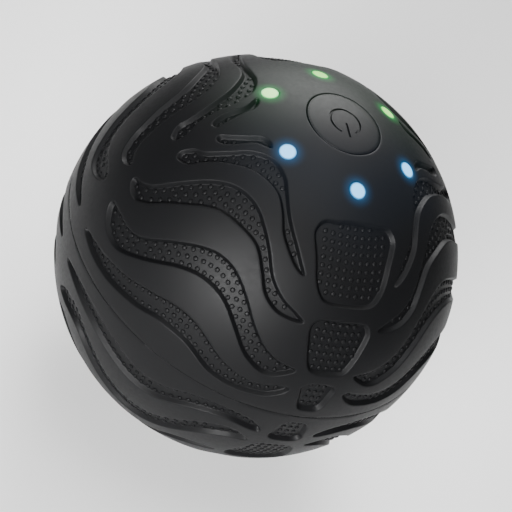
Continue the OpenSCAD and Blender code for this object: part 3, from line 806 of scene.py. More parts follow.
@dataclass(frozen=True)
class PortOpening:
    """Half of the rounded opening for the charging plug, on a lower quarter's front line.

    Attributes:
        ball: The ball's sizes.
        spacing: Distance between points along the edge.
    """

    ball: BallSizes
    spacing: float = 0.5

    @property
    def axis(self) -> np.ndarray:
        """Direction that the opening's wall runs in, outwards."""
        return np.array([0.0, -1.0, 0.0])

    def edge(self, grown: float) -> np.ndarray:
        """Places points along the edge.

        Args:
            grown: How far outside the edge they lie, in millimetres.

        Returns:
            Rows of unit directions.
        """
        width, height, corner = self.ball.port
        half_w, half_h, radius = width / 2 + grown, height / 2 + grown, corner + grown
        flat = half_w - radius
        straight = np.linspace(0, flat, max(2, round(flat / self.spacing) + 1))
        turn = np.linspace(0, math.pi / 2, round(radius * math.pi / 2 / self.spacing) + 1)
        side = np.linspace(half_h - radius, 0, 3)
        upper = np.vstack([
            np.column_stack([straight, np.full(len(straight), half_h)]),
            np.column_stack([
                half_w - radius + radius * np.sin(turn), half_h - radius + radius * np.cos(turn)
            ])[1:],
            np.column_stack([np.full(2, half_w), side[1:]]),
        ])
        outline = np.vstack([upper, upper[-2::-1] * (1, -1)])
        x, z = outline[:, 0], outline[:, 1] + self.ball.port_drop
        y = -np.sqrt(self.ball.radius**2 - x**2 - z**2)
        return np.round(np.column_stack([x, y, z]) / self.ball.radius, 12)

    def clearance(self, directions: np.ndarray) -> np.ndarray:
        """Measures how far each direction lies from the edge.

        Args:
            directions: Rows of unit directions.

        Returns:
            Millimetres, below 0 inside the opening.
        """
        width, height, corner = self.ball.port
        aside = np.abs(directions[:, 0]) * self.ball.radius
        above = np.abs(directions[:, 2] * self.ball.radius - self.ball.port_drop)
        beyond_x = aside - width / 2 + corner
        beyond_z = above - height / 2 + corner
        outside = np.hypot(np.maximum(beyond_x, 0), np.maximum(beyond_z, 0))
        return outside + np.minimum(np.maximum(beyond_x, beyond_z), 0) - corner


def rounded_edge(distance: np.ndarray, radius: float) -> np.ndarray:
    """How far a rounded edge falls away at each distance from it."""
    short = np.clip(radius - distance, 0, radius)
    return radius - np.sqrt(radius**2 - short**2)


# ---------------------------------------------------------------- skin


@dataclass
class SkinQuarter:
    """One quarter of one half of the skin, its pole up and its front at -Y.

    Attributes:
        ball: The ball's sizes.
        tread: The pads and bands sunk into it.
        side: Which half it belongs to.
        openings: Openings through it.
        edge_round: Radius of the rounded edges at the openings.
        seam_round: Radius of the rounded edge at the seam.
        spacing: Distance between points on plain ground.
        inner_spacing: Distance between points of the inner face.
        recess: Radius, depth and wall width of the round recess in the standing flat.
        ring_spacing: Distance between points along the rings at the seam and the flat.
        line_share: Spacing on the front and side lines, as a share of spacing.
        EDGE_ROWS: Distances from an opening at which its edge gets rows of points.
        SEAM_ROWS: The same from the seam.
        BASE_ROWS: The same from the standing flat's edge, outside and inside.
        RECESS_ROWS: The same from the recess, as shares of its wall's width.
        SEAM_PARTS: Number of stretches along the quarter's seam.
        EDGE_GAP: How far other points stay from the last row at an opening.
        INNER_GAP: How far the inner face's points stay from an opening.
        FAR: Clearance given to a quarter without openings.
    """

    ball: BallSizes
    tread: Tread
    side: Side
    openings: tuple
    edge_round: float = 0.3
    seam_round: float = 0.22
    spacing: float = 1.5
    inner_spacing: float = 6.0
    recess: tuple[float, float, float] = (10.4, 0.4, 0.45)
    ring_spacing: float = 1.0
    line_share: float = 0.62

    EDGE_ROWS = (0.05, 0.14, 0.3, 0.75)
    SEAM_ROWS = (0.09, 0.22, 0.7)
    BASE_ROWS = (0.9, 0.35, 0.12, 0, -0.12, -0.35)
    RECESS_ROWS = (-0.3, 0, 0.25, 0.5, 0.75, 1, 1.4)
    SEAM_PARTS = 90
    EDGE_GAP = 0.12
    INNER_GAP = 2.5
    FAR = 99.0

    def build(self) -> tuple[np.ndarray, np.ndarray]:
        """Builds the quarter as a shell that is open only where its mirror images join it.

        Returns:
            Points in millimetres from the ball's centre, pole up, and triangles.
        """
        seam = self._seam_ring()
        edges = [opening.edge(0) for opening in self.openings]
        outer, outer_faces, outer_loops = self._outer_face(seam, edges)
        inner, inner_faces, inner_loops = self._inner_face(seam, edges)
        points = np.vstack([outer, inner])
        inner_faces = inner_faces + len(outer)
        inner_loops = [loop + len(outer) for loop in inner_loops]
        faces = [
            facing(points, outer_faces, points[outer_faces].mean(1)),
            facing(points, inner_faces, -points[inner_faces].mean(1)),
        ]
        for index, (outside, inside) in enumerate(zip(outer_loops, inner_loops)):
            strip = ribbon(outside, inside)
            middle = points[strip].mean(1)
            towards = np.array([0, 0, -1.0]) if index == 0 else points[outside].mean(0) - middle
            faces.append(facing(points, strip, np.broadcast_to(towards, middle.shape)))
        return points, np.vstack(faces)

    def _seam_ring(self) -> np.ndarray:
        """Unit directions along the seam."""
        angle = np.linspace(0, math.pi / 2, self.SEAM_PARTS + 1)
        return np.round(np.column_stack([np.sin(angle), -np.cos(angle), 0 * angle]), 12)

    def _clearance(self, directions: np.ndarray) -> np.ndarray:
        """Measures how far each direction lies from the nearest opening.

        Args:
            directions: Rows of unit directions.

        Returns:
            Millimetres, below 0 inside an opening.
        """
        found = np.full(len(directions), self.FAR)
        for opening in self.openings:
            found = np.minimum(found, opening.clearance(directions))
        return found

    def _ring(self, down: float, spacing: float, shift: float | None = None) -> np.ndarray:
        """Plane points round the quarter at one angle from the pole.

        Args:
            down: Angle from the pole, in degrees.
            spacing: Distance between the points.
            shift: Share of a step to turn them by, or None for a ring that ends on both lines.

        Returns:
            Rows of plane points.
        """
        length = self.ball.radius * math.sin(math.radians(down)) * math.pi / 2
        count = max(1, round(length / spacing))
        places = np.arange(count + 1) if shift is None else np.arange(count) + shift
        angles = np.column_stack([places * 90 / count, np.full(len(places), down)])
        return snapped(self.ball.flat(angles))

    def _outer_face(self, seam: np.ndarray, edges: list[np.ndarray]) -> tuple:
        """Builds the outer face.

        Args:
            seam: Unit directions along the seam.
            edges: Unit directions along each opening's edge.

        Returns:
            Points, triangles, and the vertex numbers along the seam and each edge.
        """
        ball, tread = self.ball, self.tread
        loops, start = [], 0
        groups = []
        for directions in [seam, *edges]:
            groups.append(snapped(ball.flat_from_direction(directions)))
            loops.append(np.arange(start, start + len(directions)))
            start += len(directions)
        loops = [closed_ids(loop, group) for loop, group in zip(loops, groups)]
        for opening in self.openings:
            rows = [opening.edge(row) for row in self.EDGE_ROWS]
            groups += [snapped(ball.flat_from_direction(row)) for row in rows]
        rims = [90 - math.degrees(row / ball.radius) for row in self.SEAM_ROWS]
        if self.side is Side.LOWER:
            rims += [ball.base_polar + math.degrees(row / ball.radius) for row in self.BASE_ROWS]
            recess_r, _, recess_w = self.recess
            for share in self.RECESS_ROWS:
                rims.append(math.degrees(math.atan((recess_r - share * recess_w) / ball.height)))
        rings = [self._ring(rim, self.ring_spacing) for rim in rims]
        top = 2 * ball.radius  # plane distance from the pole to the seam
        first = groups[1][0][1] if self.side is Side.UPPER else 0.0
        line_spacing = self.spacing * self.line_share
        front = tread.front_line_points(first, top, line_spacing)[:-1]
        lines = [np.column_stack([np.zeros(len(front)), front])]
        sideways = merged_line(first, top, line_spacing, [])[:-1]
        lines.append(np.column_stack([sideways, np.zeros(len(sideways))]))
        others = np.vstack([*rings, *lines, tread.wall_points()])
        clear = self._clearance(ball.direction(others))
        groups.append(others[clear > self.EDGE_ROWS[-1] + self.EDGE_GAP])
        groups.append(self._plain_ground(rims))
        plane = np.vstack(groups)
        faces = triangulate(plane, loops[1:])
        return self._lifted(plane), faces, loops

    def _plain_ground(self, rims: list[float]) -> np.ndarray:
        """Spreads points on the land and the floor, away from every wall, edge and ring.

        Args:
            rims: Angles of the rings from the pole, in degrees.

        Returns:
            Rows of plane points.
        """
        ball, tread = self.ball, self.tread
        step = math.degrees(self.spacing / ball.radius)
        start = math.degrees(ball.button_hole / ball.radius) if self.side is Side.UPPER else 0.0
        levels = np.arange(start + step, 90 - 0.6 * step, step)
        shifts = (0.98, 0.5)  # rows take turns, which keeps their triangles even
        rows = [self._ring(level, self.spacing, shifts[i % 2]) for i, level in enumerate(levels)]
        ground = np.vstack(rows)
        directions = ball.direction(ground)
        down = np.degrees(np.arccos(directions[:, 2]))
        to_ring = np.min([np.abs(down - rim) for rim in rims], axis=0)
        inside = tread.depth_inside(ground)
        land_gap, floor_gap, line_gap, opening_gap, ring_gap = 0.55, 0.5, 0.6, 0.5, 0.4
        kept = (inside < tread.rows[0] - land_gap) | (inside > tread.rows[-1] + floor_gap)
        kept &= (directions[:, :2] * (1, -1) * ball.radius > line_gap).all(1)
        kept &= self._clearance(directions) > self.EDGE_ROWS[-1] + opening_gap
        kept &= to_ring > math.degrees(ring_gap / ball.radius)
        return ground[kept]

    def _lifted(self, plane: np.ndarray) -> np.ndarray:
        """Lifts plane points on to the finished outer surface.

        Args:
            plane: Rows of plane points.

        Returns:
            Rows of coordinates in millimetres from the ball's centre.
        """
        ball, tread = self.ball, self.tread
        directions = ball.direction(plane)
        directions[plane[:, 0] == 0, 0] = 0
        directions[plane[:, 1] == 0, 1] = 0
        sink = tread.sink(tread.depth_inside(plane))
        sink += rounded_edge(np.maximum(self._clearance(directions), 0), self.edge_round)
        to_seam = np.arcsin(np.clip(directions[:, 2], 0, 1)) * ball.radius
        sink += rounded_edge(to_seam, self.seam_round)
        points = directions * (ball.radius - sink)[:, None]
        points[:, 2] = np.maximum(points[:, 2], ball.seam / 2)
        if self.side is Side.LOWER:
            flat = directions[:, 2] > ball.height / ball.radius
            points[flat] = directions[flat] * (ball.height / directions[flat, 2])[:, None]
            radius, depth, wall = self.recess
            share = np.clip((radius - np.hypot(points[:, 0], points[:, 1])) / wall, 0, 1)
            points[:, 2] -= np.where(flat, depth * share**2 * (3 - 2 * share), 0)
        return points

    def _inner_face(self, seam: np.ndarray, edges: list[np.ndarray]) -> tuple:
        """Builds the plain inner face.

        Args:
            seam: Unit directions along the seam.
            edges: Unit directions along each opening's outer edge.

        Returns:
            Points, triangles, and the vertex numbers along the seam and each edge.
        """
        ball = self.ball
        positions = [seam * ball.inner]
        for opening, edge in zip(self.openings, edges):
            outer = edge * ball.radius
            along = outer @ opening.axis
            travel = along - np.sqrt(along**2 - (ball.radius**2 - ball.inner**2))
            positions.append(np.round(outer - travel[:, None] * opening.axis, 12))
        loops, start, groups = [], 0, []
        for points in positions:
            groups.append(snapped(ball.flat_from_direction(points / ball.inner)))
            loops.append(np.arange(start, start + len(points)))
            start += len(points)
        loops = [closed_ids(loop, group) for loop, group in zip(loops, groups)]
        top = 2 * ball.radius
        first = groups[1][0][1] if self.side is Side.UPPER else 0.0
        line = merged_line(first, top, self.inner_spacing, [])[:-1]
        zeros = np.zeros(len(line))
        others = [np.column_stack([zeros, line]), np.column_stack([line, zeros])]
        step = math.degrees(self.inner_spacing / ball.radius)
        others += [
            self._ring(level, self.inner_spacing, 0.5)
            for level in np.arange(step, 88, step)
        ]
        plane = np.vstack(others)
        clear = self._clearance(ball.direction(plane)) > self.INNER_GAP
        plane = np.vstack([*groups, plane[clear]])
        faces = triangulate(plane, loops[1:])
        points = ball.direction(plane) * ball.inner
        points[:start] = np.vstack(positions)
        points[plane[:, 0] == 0, 0] = 0
        points[plane[:, 1] == 0, 1] = 0
        points[:, 2] = np.maximum(points[:, 2], ball.seam / 2)
        return points, faces, loops


def snapped(plane: np.ndarray) -> np.ndarray:
    """Puts plane points that are all but on the front or the side line right on it."""
    return np.where(np.abs(plane) < 1e-7, 0.0, plane)


def closed_ids(loop: np.ndarray, plane: np.ndarray) -> np.ndarray:
    """Makes a loop end on its first vertex again, if its first and last points meet."""
    meets = np.linalg.norm(plane[0] - plane[-1]) < 1e-6
    return np.concatenate([loop[:-1], loop[:1]]) if meets else loop


def facing(points: np.ndarray, faces: np.ndarray, wanted: np.ndarray) -> np.ndarray:
    """Turns each triangle so that its normal points the wanted way.

    Args:
        points: Rows of coordinates.
        faces: Rows of three vertex numbers.
        wanted: The wanted direction for each triangle.

    Returns:
        Rows of three vertex numbers.
    """
    a, b, c = (points[faces[:, i]] for i in range(3))
    agrees = (np.cross(b - a, c - a) * wanted).sum(1) > 0
    return np.where(agrees[:, None], faces, faces[:, ::-1])


def ribbon(first: np.ndarray, second: np.ndarray) -> np.ndarray:
    """Joins two rows of the same number of vertices with triangles.

    Args:
        first: Vertex numbers of the first row.
        second: Vertex numbers of the second row.

    Returns:
        Rows of three vertex numbers.
    """
    upper = np.column_stack([first[:-1], first[1:], second[1:]])
    lower = np.column_stack([first[:-1], second[1:], second[:-1]])
    return np.vstack([upper, lower])


@dataclass
class Skin:
    """The two halves of the silicone skin with their studs.

    Attributes:
        ball: The ball's sizes.
        finish: The silicone.
        stud_base: Diameter of a stud at its foot.
        stud_height: Height of a stud above the tread's floor.
        stud_root: How far a stud's foot reaches under the tread's floor.
        stud_sides: Number of sides of a stud.
        BOTH_SIDES: Signs of x and y that mirror a quarter all round.
        FRONT: The signs for the front only.
        BACK: The signs for the back only.
    """

    ball: BallSizes
    finish: bpy.types.Material
    stud_base: float = 1.56
    stud_height: float = 0.38
    stud_root: float = 0.04
    stud_sides: int = 8

    FRONT = [(1, 1), (-1, 1)]
    BACK = [(1, -1), (-1, -1)]
    BOTH_SIDES = FRONT + BACK

    def build(self) -> list[bpy.types.Object]:
        """Builds both halves and their studs, and hangs them on the ball.

        Returns:
            The four finished pieces.
        """
        ball = self.ball
        full = Tread(ball, TREAD_PADS + TREAD_BANDS)
        open_back = Tread(ball, TREAD_PADS[:1] + TREAD_BANDS)
        holes = (ButtonOpening(ball), LightOpening(ball, 0), LightOpening(ball, 60))
        upper = [(SkinQuarter(ball, full, Side.UPPER, holes), self.BOTH_SIDES)]
        lower = [
            (SkinQuarter(ball, full, Side.LOWER, ()), self.FRONT),
            (SkinQuarter(ball, open_back, Side.LOWER, (PortOpening(ball),)), self.BACK),
        ]
        pieces = []
        for side, quarters in ((Side.UPPER, upper), (Side.LOWER, lower)):
            name = side.name.lower()
            skin = self._half(f"{name}_tread_skin", side, quarters)
            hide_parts(f"{name}_skin")
            studs = self._studs(f"{name}_tread_studs", side, quarters)
            for piece in (skin, studs):
                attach(piece, "ball")
            pieces += [skin, studs]
        return pieces

    def _to_frame(self, points: np.ndarray, side: Side) -> np.ndarray:
        """Moves points from the ball's centre, pole up, to the frame in metres."""
        return (points * (1, 1, side.value) + (0, 0, self.ball.height)) * MM

    def _half(self, name: str, side: Side, quarters: list) -> bpy.types.Object:
        """Joins mirrored quarters into one half of the skin.

        Args:
            name: The piece's name.
            side: Which half it is.
            quarters: Each quarter with the signs that mirror it.

        Returns:
            The finished piece.
        """
        points, faces, start = [], [], 0
        for quarter, signs in quarters:
            some_points, some_faces = mirrored_copies(*quarter.build(), signs)
            points.append(some_points)
            faces.append(some_faces + start)
            start += len(some_points)
        points, faces = joined(np.vstack(points), np.vstack(faces))
        if side is Side.LOWER:
            faces = faces[:, ::-1]
        return new_piece(name, self._to_frame(points, side), faces, self.finish, 50)

    def _studs(self, name: str, side: Side, quarters: list) -> bpy.types.Object:
        """Sets a stud at every place of the tread's lattice, with one node tree.

        Args:
            name: The piece's name.
            side: Which half the studs are on.
            quarters: Each quarter with the signs that mirror it.

        Returns:
            The finished piece.
        """
        places = []
        for quarter, signs in quarters:
            directions = self.ball.direction(quarter.tread.studs())
            for sign_x, sign_y in signs:
                some = directions if sign_x > 0 else directions[directions[:, 0] > 1e-6]
                places.append(some * (sign_x, sign_y, side.value))
        outwards = np.vstack(places)
        foot = self.ball.radius - quarters[0][0].tread.depth - self.stud_root
        points = (outwards * foot + (0, 0, self.ball.height)) * MM
        tree = StudTree().build()
        sizes = {
            "Base diameter": self.stud_base * MM,
            "Height": (self.stud_height + self.stud_root) * MM,
            "Sides": self.stud_sides,
            "Finish": self.finish,
        }
        return grown_piece(name, points, outwards, tree, sizes)


@dataclass(frozen=True)
class StudTree:
    """Node tree that stands a small round-topped stud on every point, along its normal.

    Attributes:
        fullness: Power of the stud's rounded outline; more gives steeper sides.
        crown: Radius of the stud's innermost ring, as a share of its foot's.
        rings: Number of steps from foot to crown.
    """

    fullness: float = 2.2
    crown: float = 0.55
    rings: int = 3

    def build(self) -> bpy.types.NodeTree:
        """Makes the tree with its named inputs.

        Returns:
            The new tree.
        """
        tree = bpy.data.node_groups.new("stud_lattice", "GeometryNodeTree")
        inputs = {
            "Points": "Geometry", "Base diameter": "Float", "Height": "Float", "Sides": "Int",
            "Finish": "Material",
        }
        for name, kind in inputs.items():
            tree.interface.new_socket(name, in_out="INPUT", socket_type=f"NodeSocket{kind}")
        tree.interface.new_socket("Studs", in_out="OUTPUT", socket_type="NodeSocketGeometry")
        wire = Wiring(tree)
        given = wire.node("NodeGroupInput").outputs
        domed = self._stud(wire, given["Base diameter"], given["Height"], given["Sides"])
        outwards = wire.node(
            "GeometryNodeInputNamedAttribute", {"Name": "outwards"}, data_type="FLOAT_VECTOR"
        )
        turn = wire.node(
            "FunctionNodeAlignRotationToVector", {"Vector": outwards.outputs["Attribute"]}, axis="Z"
        )
        spread = wire.node("GeometryNodeInstanceOnPoints", {
            "Points": given["Points"], "Instance": domed, "Rotation": turn.outputs[0],
        })
        real = wire.node("GeometryNodeRealizeInstances", {"Geometry": spread.outputs[0]})
        painted = wire.node("GeometryNodeSetMaterial", {
            "Geometry": real.outputs[0], "Material": given["Finish"],
        })
        wire.node("NodeGroupOutput", {"Studs": painted.outputs[0]})
        return tree

    def _stud(
        self, wire: "Wiring", base: bpy.types.NodeSocket, height: bpy.types.NodeSocket,
        sides: bpy.types.NodeSocket,
    ) -> bpy.types.NodeSocket:
        """Shapes one stud from a cone whose rings are lifted to a rounded outline.

        Args:
            wire: The tree's wiring.
            base: Diameter of its foot.
            height: Its height.
            sides: Number of its sides.

        Returns:
            The stud's mesh.
        """
        radius = wire.maths("MULTIPLY", base, 0.5)
        cone = wire.node("GeometryNodeMeshCone", {
            "Side Segments": self.rings, "Vertices": sides, "Radius Bottom": radius,
            "Radius Top": wire.maths("MULTIPLY", radius, self.crown), "Depth": height,
        }, fill_type="TRIANGLE_FAN")
        place = wire.node("GeometryNodeInputPosition")
        x, y, z = wire.node("ShaderNodeSeparateXYZ", {0: place.outputs[0]}).outputs
        square_x, square_y = wire.maths("MULTIPLY", x, x), wire.maths("MULTIPLY", y, y)
        reach = wire.maths("SQRT", wire.maths("ADD", square_x, square_y))
        fall = wire.maths("POWER", wire.maths("DIVIDE", reach, radius), self.fullness)
        left = wire.maths("MAXIMUM", wire.maths("SUBTRACT", 1.0, fall), 0.0)
        rise = wire.maths("MULTIPLY", wire.maths("POWER", left, 1 / self.fullness), height)
        above = wire.maths("GREATER_THAN", z, 1e-9)
        lifted = wire.node("ShaderNodeCombineXYZ", {
            "X": x, "Y": y, "Z": wire.maths("MULTIPLY", rise, above),
        })
        return wire.node("GeometryNodeSetPosition", {
            "Geometry": cone.outputs["Mesh"], "Position": lifted.outputs[0],
        }).outputs[0]


@dataclass(frozen=True)
class Wiring:
    """Short way to add and join the nodes of one tree.

    Attributes:
        tree: The node tree.
    """

    tree: bpy.types.NodeTree

    def node(
        self, kind: str, feeds: dict[str | int, object] | None = None, **settings: object
    ) -> bpy.types.Node:
        """Adds a node.

        Args:
            kind: The node's type.
            feeds: A socket or a constant for each input that needs one.
            **settings: Options to set on it, by name.

        Returns:
            The new node.
        """
        made = self.tree.nodes.new(kind)
        for name, value in settings.items():
            setattr(made, name, value)
        for place, value in (feeds or {}).items():
            self.feed(made.inputs[place], value)
        return made

    def join(self, source: bpy.types.NodeSocket, target: bpy.types.NodeSocket) -> None:
        """Joins an output to an input."""
        self.tree.links.new(source, target)

    def feed(self, target: bpy.types.NodeSocket, value: object) -> None:
        """Joins a socket to an input, or sets the input to a constant.

        Args:
            target: The input.
            value: The socket or the constant.
        """
        if isinstance(value, bpy.types.NodeSocket):
            self.join(value, target)
        else:
            target.default_value = value

    def maths(self, operation: str, *values: object) -> bpy.types.NodeSocket:
        """Adds a Math node.

        Args:
            operation: What it does.
            *values: A socket or a constant for each of its inputs.

        Returns:
            Its output.
        """
        made = self.node("ShaderNodeMath", dict(enumerate(values)), operation=operation)
        return made.outputs[0]


def grown_piece(name: str, points: np.ndarray, outwards: np.ndarray, tree: bpy.types.NodeTree,
                values: dict[str, object]) -> bpy.types.Object:
    """Runs a node tree on loose points and keeps the result as a plain mesh.

    Args:
        name: The piece's name.
        points: Rows of coordinates, in metres.
        outwards: The outward direction at each point.
        tree: The node tree.
        values: The tree's inputs, by name.

    Returns:
        A plain mesh object at the origin.
    """
    seed = bpy.data.meshes.new(f"{name}_points")
    seed.from_pydata(points.tolist(), [], [])
    attribute = seed.attributes.new("outwards", "FLOAT_VECTOR", "POINT")
    attribute.data.foreach_set("vector", outwards.astype(np.float32).ravel())
    carrier = linked(f"{name}_carrier", seed)
    modifier = carrier.modifiers.new("grow", "NODES")
    modifier.node_group = tree
    sockets = {s.name: s.identifier for s in tree.interface.items_tree if s.in_out == "INPUT"}
    for label, value in values.items():
        modifier[sockets[label]] = value
    graph = bpy.context.evaluated_depsgraph_get()
    mesh = bpy.data.meshes.new_from_object(carrier.evaluated_get(graph), depsgraph=graph)
    mesh.name = name
    mesh.materials.clear()
    mesh.materials.append(values["Finish"])
    mesh.polygons.foreach_set("material_index", [0] * len(mesh.polygons))
    mesh.polygons.foreach_set("use_smooth", [True] * len(mesh.polygons))
    mesh.update()
    carrier.modifiers.remove(modifier)
    bpy.data.objects.remove(carrier)
    bpy.data.meshes.remove(seed)
    return linked(name, mesh)


# ---------------------------------------------------------------- power button


@dataclass
class PowerButton:
    """The round button with its pressed-in power symbol.

    Attributes:
        ball: The ball's sizes.
        finish: The button's silicone.
        radius: Radius of the button's cap.
        cap: Thickness of the cap's top.
        wall: Thickness of the cap's side.
        flange: Thickness of the flange at its foot.
        flange_top: Height of the flange's top above the ball's centre, just under the collar.
        flange_bevel: Bevel of the flange's and the stem's edges, and of the flange's root.
        fillet: Fillet in the corners of the button's hollow.
        stem: Radius of the stem that presses the switch.
        symbol_radius: Radius of the symbol's open ring, to the middle of its line.
        symbol_width: Width of the symbol's line.
        symbol_gap: Opening of the ring, in degrees.
        symbol_bar: Where the symbol's bar starts and ends, from the button's middle.
        symbol_depth: Depth of the symbol.
        symbol_wall: Width of the wall at the symbol's edge.
        edge_round: Radius of the cap's rounded edge.
        sides: Number of stretches round the button.
        ground: Distance between points on the plain top.
        margin: Least distance of such a point from the symbol.
        dense: Distance from the cap's edge up to which its rings have all their points.
        EDGE_ROWS: Distances from the cap's edge at which it gets rings of points.
        SYMBOL_ROWS: Distances inwards from the symbol's outline with rows of points.
        ARC_PARTS: Number of points along the symbol's ring, its ends, and its bar's ends and sides.
    """

    ball: BallSizes
    finish: bpy.types.Material
    radius: float = 11.5
    cap: float = 3.0
    wall: float = 1.8
    flange: float = 1.1
    flange_top: float = 49.3
    flange_bevel: float = 0.2
    fillet: float = 0.5
    stem: float = 3.0
    symbol_radius: float = 4.7
    symbol_width: float = 0.72
    symbol_gap: float = 64.0
    symbol_bar: tuple[float, float] = (0.6, 6.0)
    symbol_depth: float = 0.45
    symbol_wall: float = 0.16
    edge_round: float = 0.25
    sides: int = 128
    ground: float = 0.8
    margin: float = 0.35
    dense: float = 0.2

    EDGE_ROWS = (0.04, 0.12, 0.24, 0.45, 0.9)
    SYMBOL_ROWS = (-0.12, 0.0, 0.055, 0.11, 0.16)
    ARC_PARTS = (90, 9, 11, 16)

    def build(self) -> bpy.types.Object:
        """Builds the button and hangs it on its own body.

        Returns:
            The finished piece.
        """
        plane, loops = self._top_points()
        faces = triangulate(plane, [])
        height = self._height(plane)
        top = np.column_stack([plane, height])
        low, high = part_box("power_button")
        stem_foot, flange_radius = low.z / MM - self.ball.height, (high.x - low.x) / 2 / MM
        below, strips = self._underside(stem_foot, flange_radius, len(top), loops)
        points = np.vstack([top, below])
        shell = np.vstack([facing(points, faces, np.tile([0, 0, 1.0], (len(faces), 1))), strips])
        piece = new_piece(
            "power_button_cap", (points + (0, 0, self.ball.height)) * MM,
            outward(points, shell), self.finish, 45,
        )
        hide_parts("power_button")
        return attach(piece, "button")

    def _symbol(self) -> list[np.ndarray]:
        """Draws the symbol's open ring and its bar, both round-ended.

        Returns:
            Their two outlines, as rows of plane points.
        """
        half = self.symbol_width / 2
        gap = math.radians(self.symbol_gap / 2)
        ring_parts, cap_parts, end_parts, side_parts = self.ARC_PARTS
        outlines = []
        turn = np.linspace(gap, 2 * math.pi - gap, ring_parts)
        ring = np.column_stack([np.sin(turn), -np.cos(turn)])
        cap = np.linspace(0, math.pi, cap_parts)[1:-1]
        ends = []
        for angle, way in ((turn[-1], 1), (turn[0], -1)):
            middle = self.symbol_radius * np.array([math.sin(angle), -math.cos(angle)])
            out = np.array([math.sin(angle), -math.cos(angle)])
            along = np.array([math.cos(angle), math.sin(angle)]) * way
            bend = cap if way > 0 else math.pi - cap
            ends.append(middle + half * (np.outer(np.cos(bend), out) + np.outer(np.sin(bend), along)))
        outer, inner = ring * (self.symbol_radius + half), ring[::-1] * (self.symbol_radius - half)
        outlines.append(np.vstack([outer, ends[0], inner, ends[1]]))
        start, end = self.symbol_bar[0] + half, self.symbol_bar[1] - half
        bend = np.linspace(0, math.pi, end_parts)
        foot = np.column_stack([half * np.cos(bend), -end - half * np.sin(bend)])
        head = np.column_stack([-half * np.cos(bend), -start + half * np.sin(bend)])
        side = np.linspace(0, 1, side_parts)[1:-1, None]
        down = head[-1] + (foot[0] - head[-1]) * side
        up = foot[-1] + (head[0] - foot[-1]) * side
        outlines.append(np.vstack([head, down, foot, up]))
        return outlines

    def _symbol_depth(self, plane: np.ndarray) -> np.ndarray:
        """Measures how deep each point lies inside the symbol's lines.

        Args:
            plane: Rows of (x, y) from the button's axis.

        Returns:
            Millimetres, below 0 outside the lines.
        """
        inside = np.full(len(plane), -self.radius)
        for path in self._symbol():
            distance = edge_distance(plane, path)
            inside = np.maximum(inside, np.where(is_inside(plane, path), distance, -distance))
        return inside

    def _top_points(self) -> tuple[np.ndarray, np.ndarray]:
        """Plane points of the button's top, its rim first, and the rim's numbers."""
        turn = np.arange(self.sides) * 2 * math.pi / self.sides
        circle = np.column_stack([np.cos(turn), np.sin(turn)])
        groups = [circle * self.radius]
        for row in self.EDGE_ROWS:
            groups.append(circle[::2 if row > self.dense else 1] * (self.radius - row))
        for path in self._symbol():
            along = np.roll(path, -1, 0) - np.roll(path, 1, 0)
            along /= np.linalg.norm(along, axis=1)[:, None]
            normal = np.column_stack([-along[:, 1], along[:, 0]])
            x, y = path.T
            if (x * np.roll(y, -1) - np.roll(x, -1) * y).sum() < 0:
                normal = -normal
            for row in self.SYMBOL_ROWS:
                points = path + normal * row
                groups.append(points[np.abs(self._symbol_depth(points) - row) < 0.02])
        for radius in np.arange(self.ground, self.radius - 1.5 * self.ground, self.ground):
            count = max(6, round(2 * math.pi * radius / self.ground))
            angle = np.arange(count) * 2 * math.pi / count
            ring = radius * np.column_stack([np.cos(angle), np.sin(angle)])
            groups.append(ring[self._symbol_depth(ring) < -self.margin])
        return np.vstack(groups), np.arange(self.sides)

    def _height(self, plane: np.ndarray) -> np.ndarray:
        """Works out the height of the finished top.

        Args:
            plane: Rows of (x, y) from the button's axis.

        Returns:
            Heights above the ball's centre.
        """
        reach = np.hypot(plane[:, 0], plane[:, 1])
        share = np.clip(self._symbol_depth(plane) / self.symbol_wall, 0, 1)
        sink = self.symbol_depth * share**2 * (3 - 2 * share)
        sink += rounded_edge(np.maximum(self.radius - reach, 0), self.edge_round)
        return np.sqrt(self.ball.radius**2 - reach**2) - sink

    def _underside(self, stem_foot: float, flange_radius: float, start: int, rim: np.ndarray) -> tuple:
        """Side, flange, hollow and stem, turned round the button's axis.

        Args:
            stem_foot: Height of the stem's foot above the ball's centre.
            flange_radius: Radius of the flange.
            start: Number of the first new vertex.
            rim: Numbers of the top's rim vertices.

        Returns:
            New points and outward triangles.
        """
        top = math.sqrt(self.ball.radius**2 - self.radius**2) - self.edge_round
        ceiling = self.ball.radius - self.cap
        hollow = self.radius - self.wall
        flange_top, flange_foot = self.flange_top, self.flange_top - self.flange
        bevel, fillet = self.flange_bevel, self.fillet
        profile = [
            (self.radius, top - fillet),
            (self.radius, flange_top + bevel), (self.radius + bevel, flange_top),
            (flange_radius - bevel, flange_top), (flange_radius, flange_top - bevel),
            (flange_radius, flange_foot + bevel), (flange_radius - bevel, flange_foot),
            (hollow + bevel, flange_foot), (hollow, flange_foot + bevel),
            (hollow, ceiling - fillet), (hollow - fillet, ceiling), (self.stem + fillet, ceiling),
            (self.stem, ceiling - fillet), (self.stem, stem_foot + bevel), (self.stem - bevel, stem_foot),
        ]
        turn = np.arange(self.sides) * 2 * math.pi / self.sides
        points, strips, last = [], [], np.append(rim, rim[0])
        for index, (radius, height) in enumerate(profile):
            flat = radius * np.column_stack([np.cos(turn), np.sin(turn)])
            ring = np.column_stack([flat, np.full(self.sides, height)])
            ids = start + index * self.sides + np.arange(self.sides)
            ids = np.append(ids, ids[0])
            points.append(ring)
            strips.append(ribbon(last, ids)[:, ::-1])
            last = ids
        centre = start + len(profile) * self.sides
        points.append(np.array([[0, 0, stem_foot]]))
        strips.append(np.column_stack([last[1:], last[:-1], np.full(self.sides, centre)]))
        return np.vstack(points), np.vstack(strips)


# ---------------------------------------------------------------- finishes


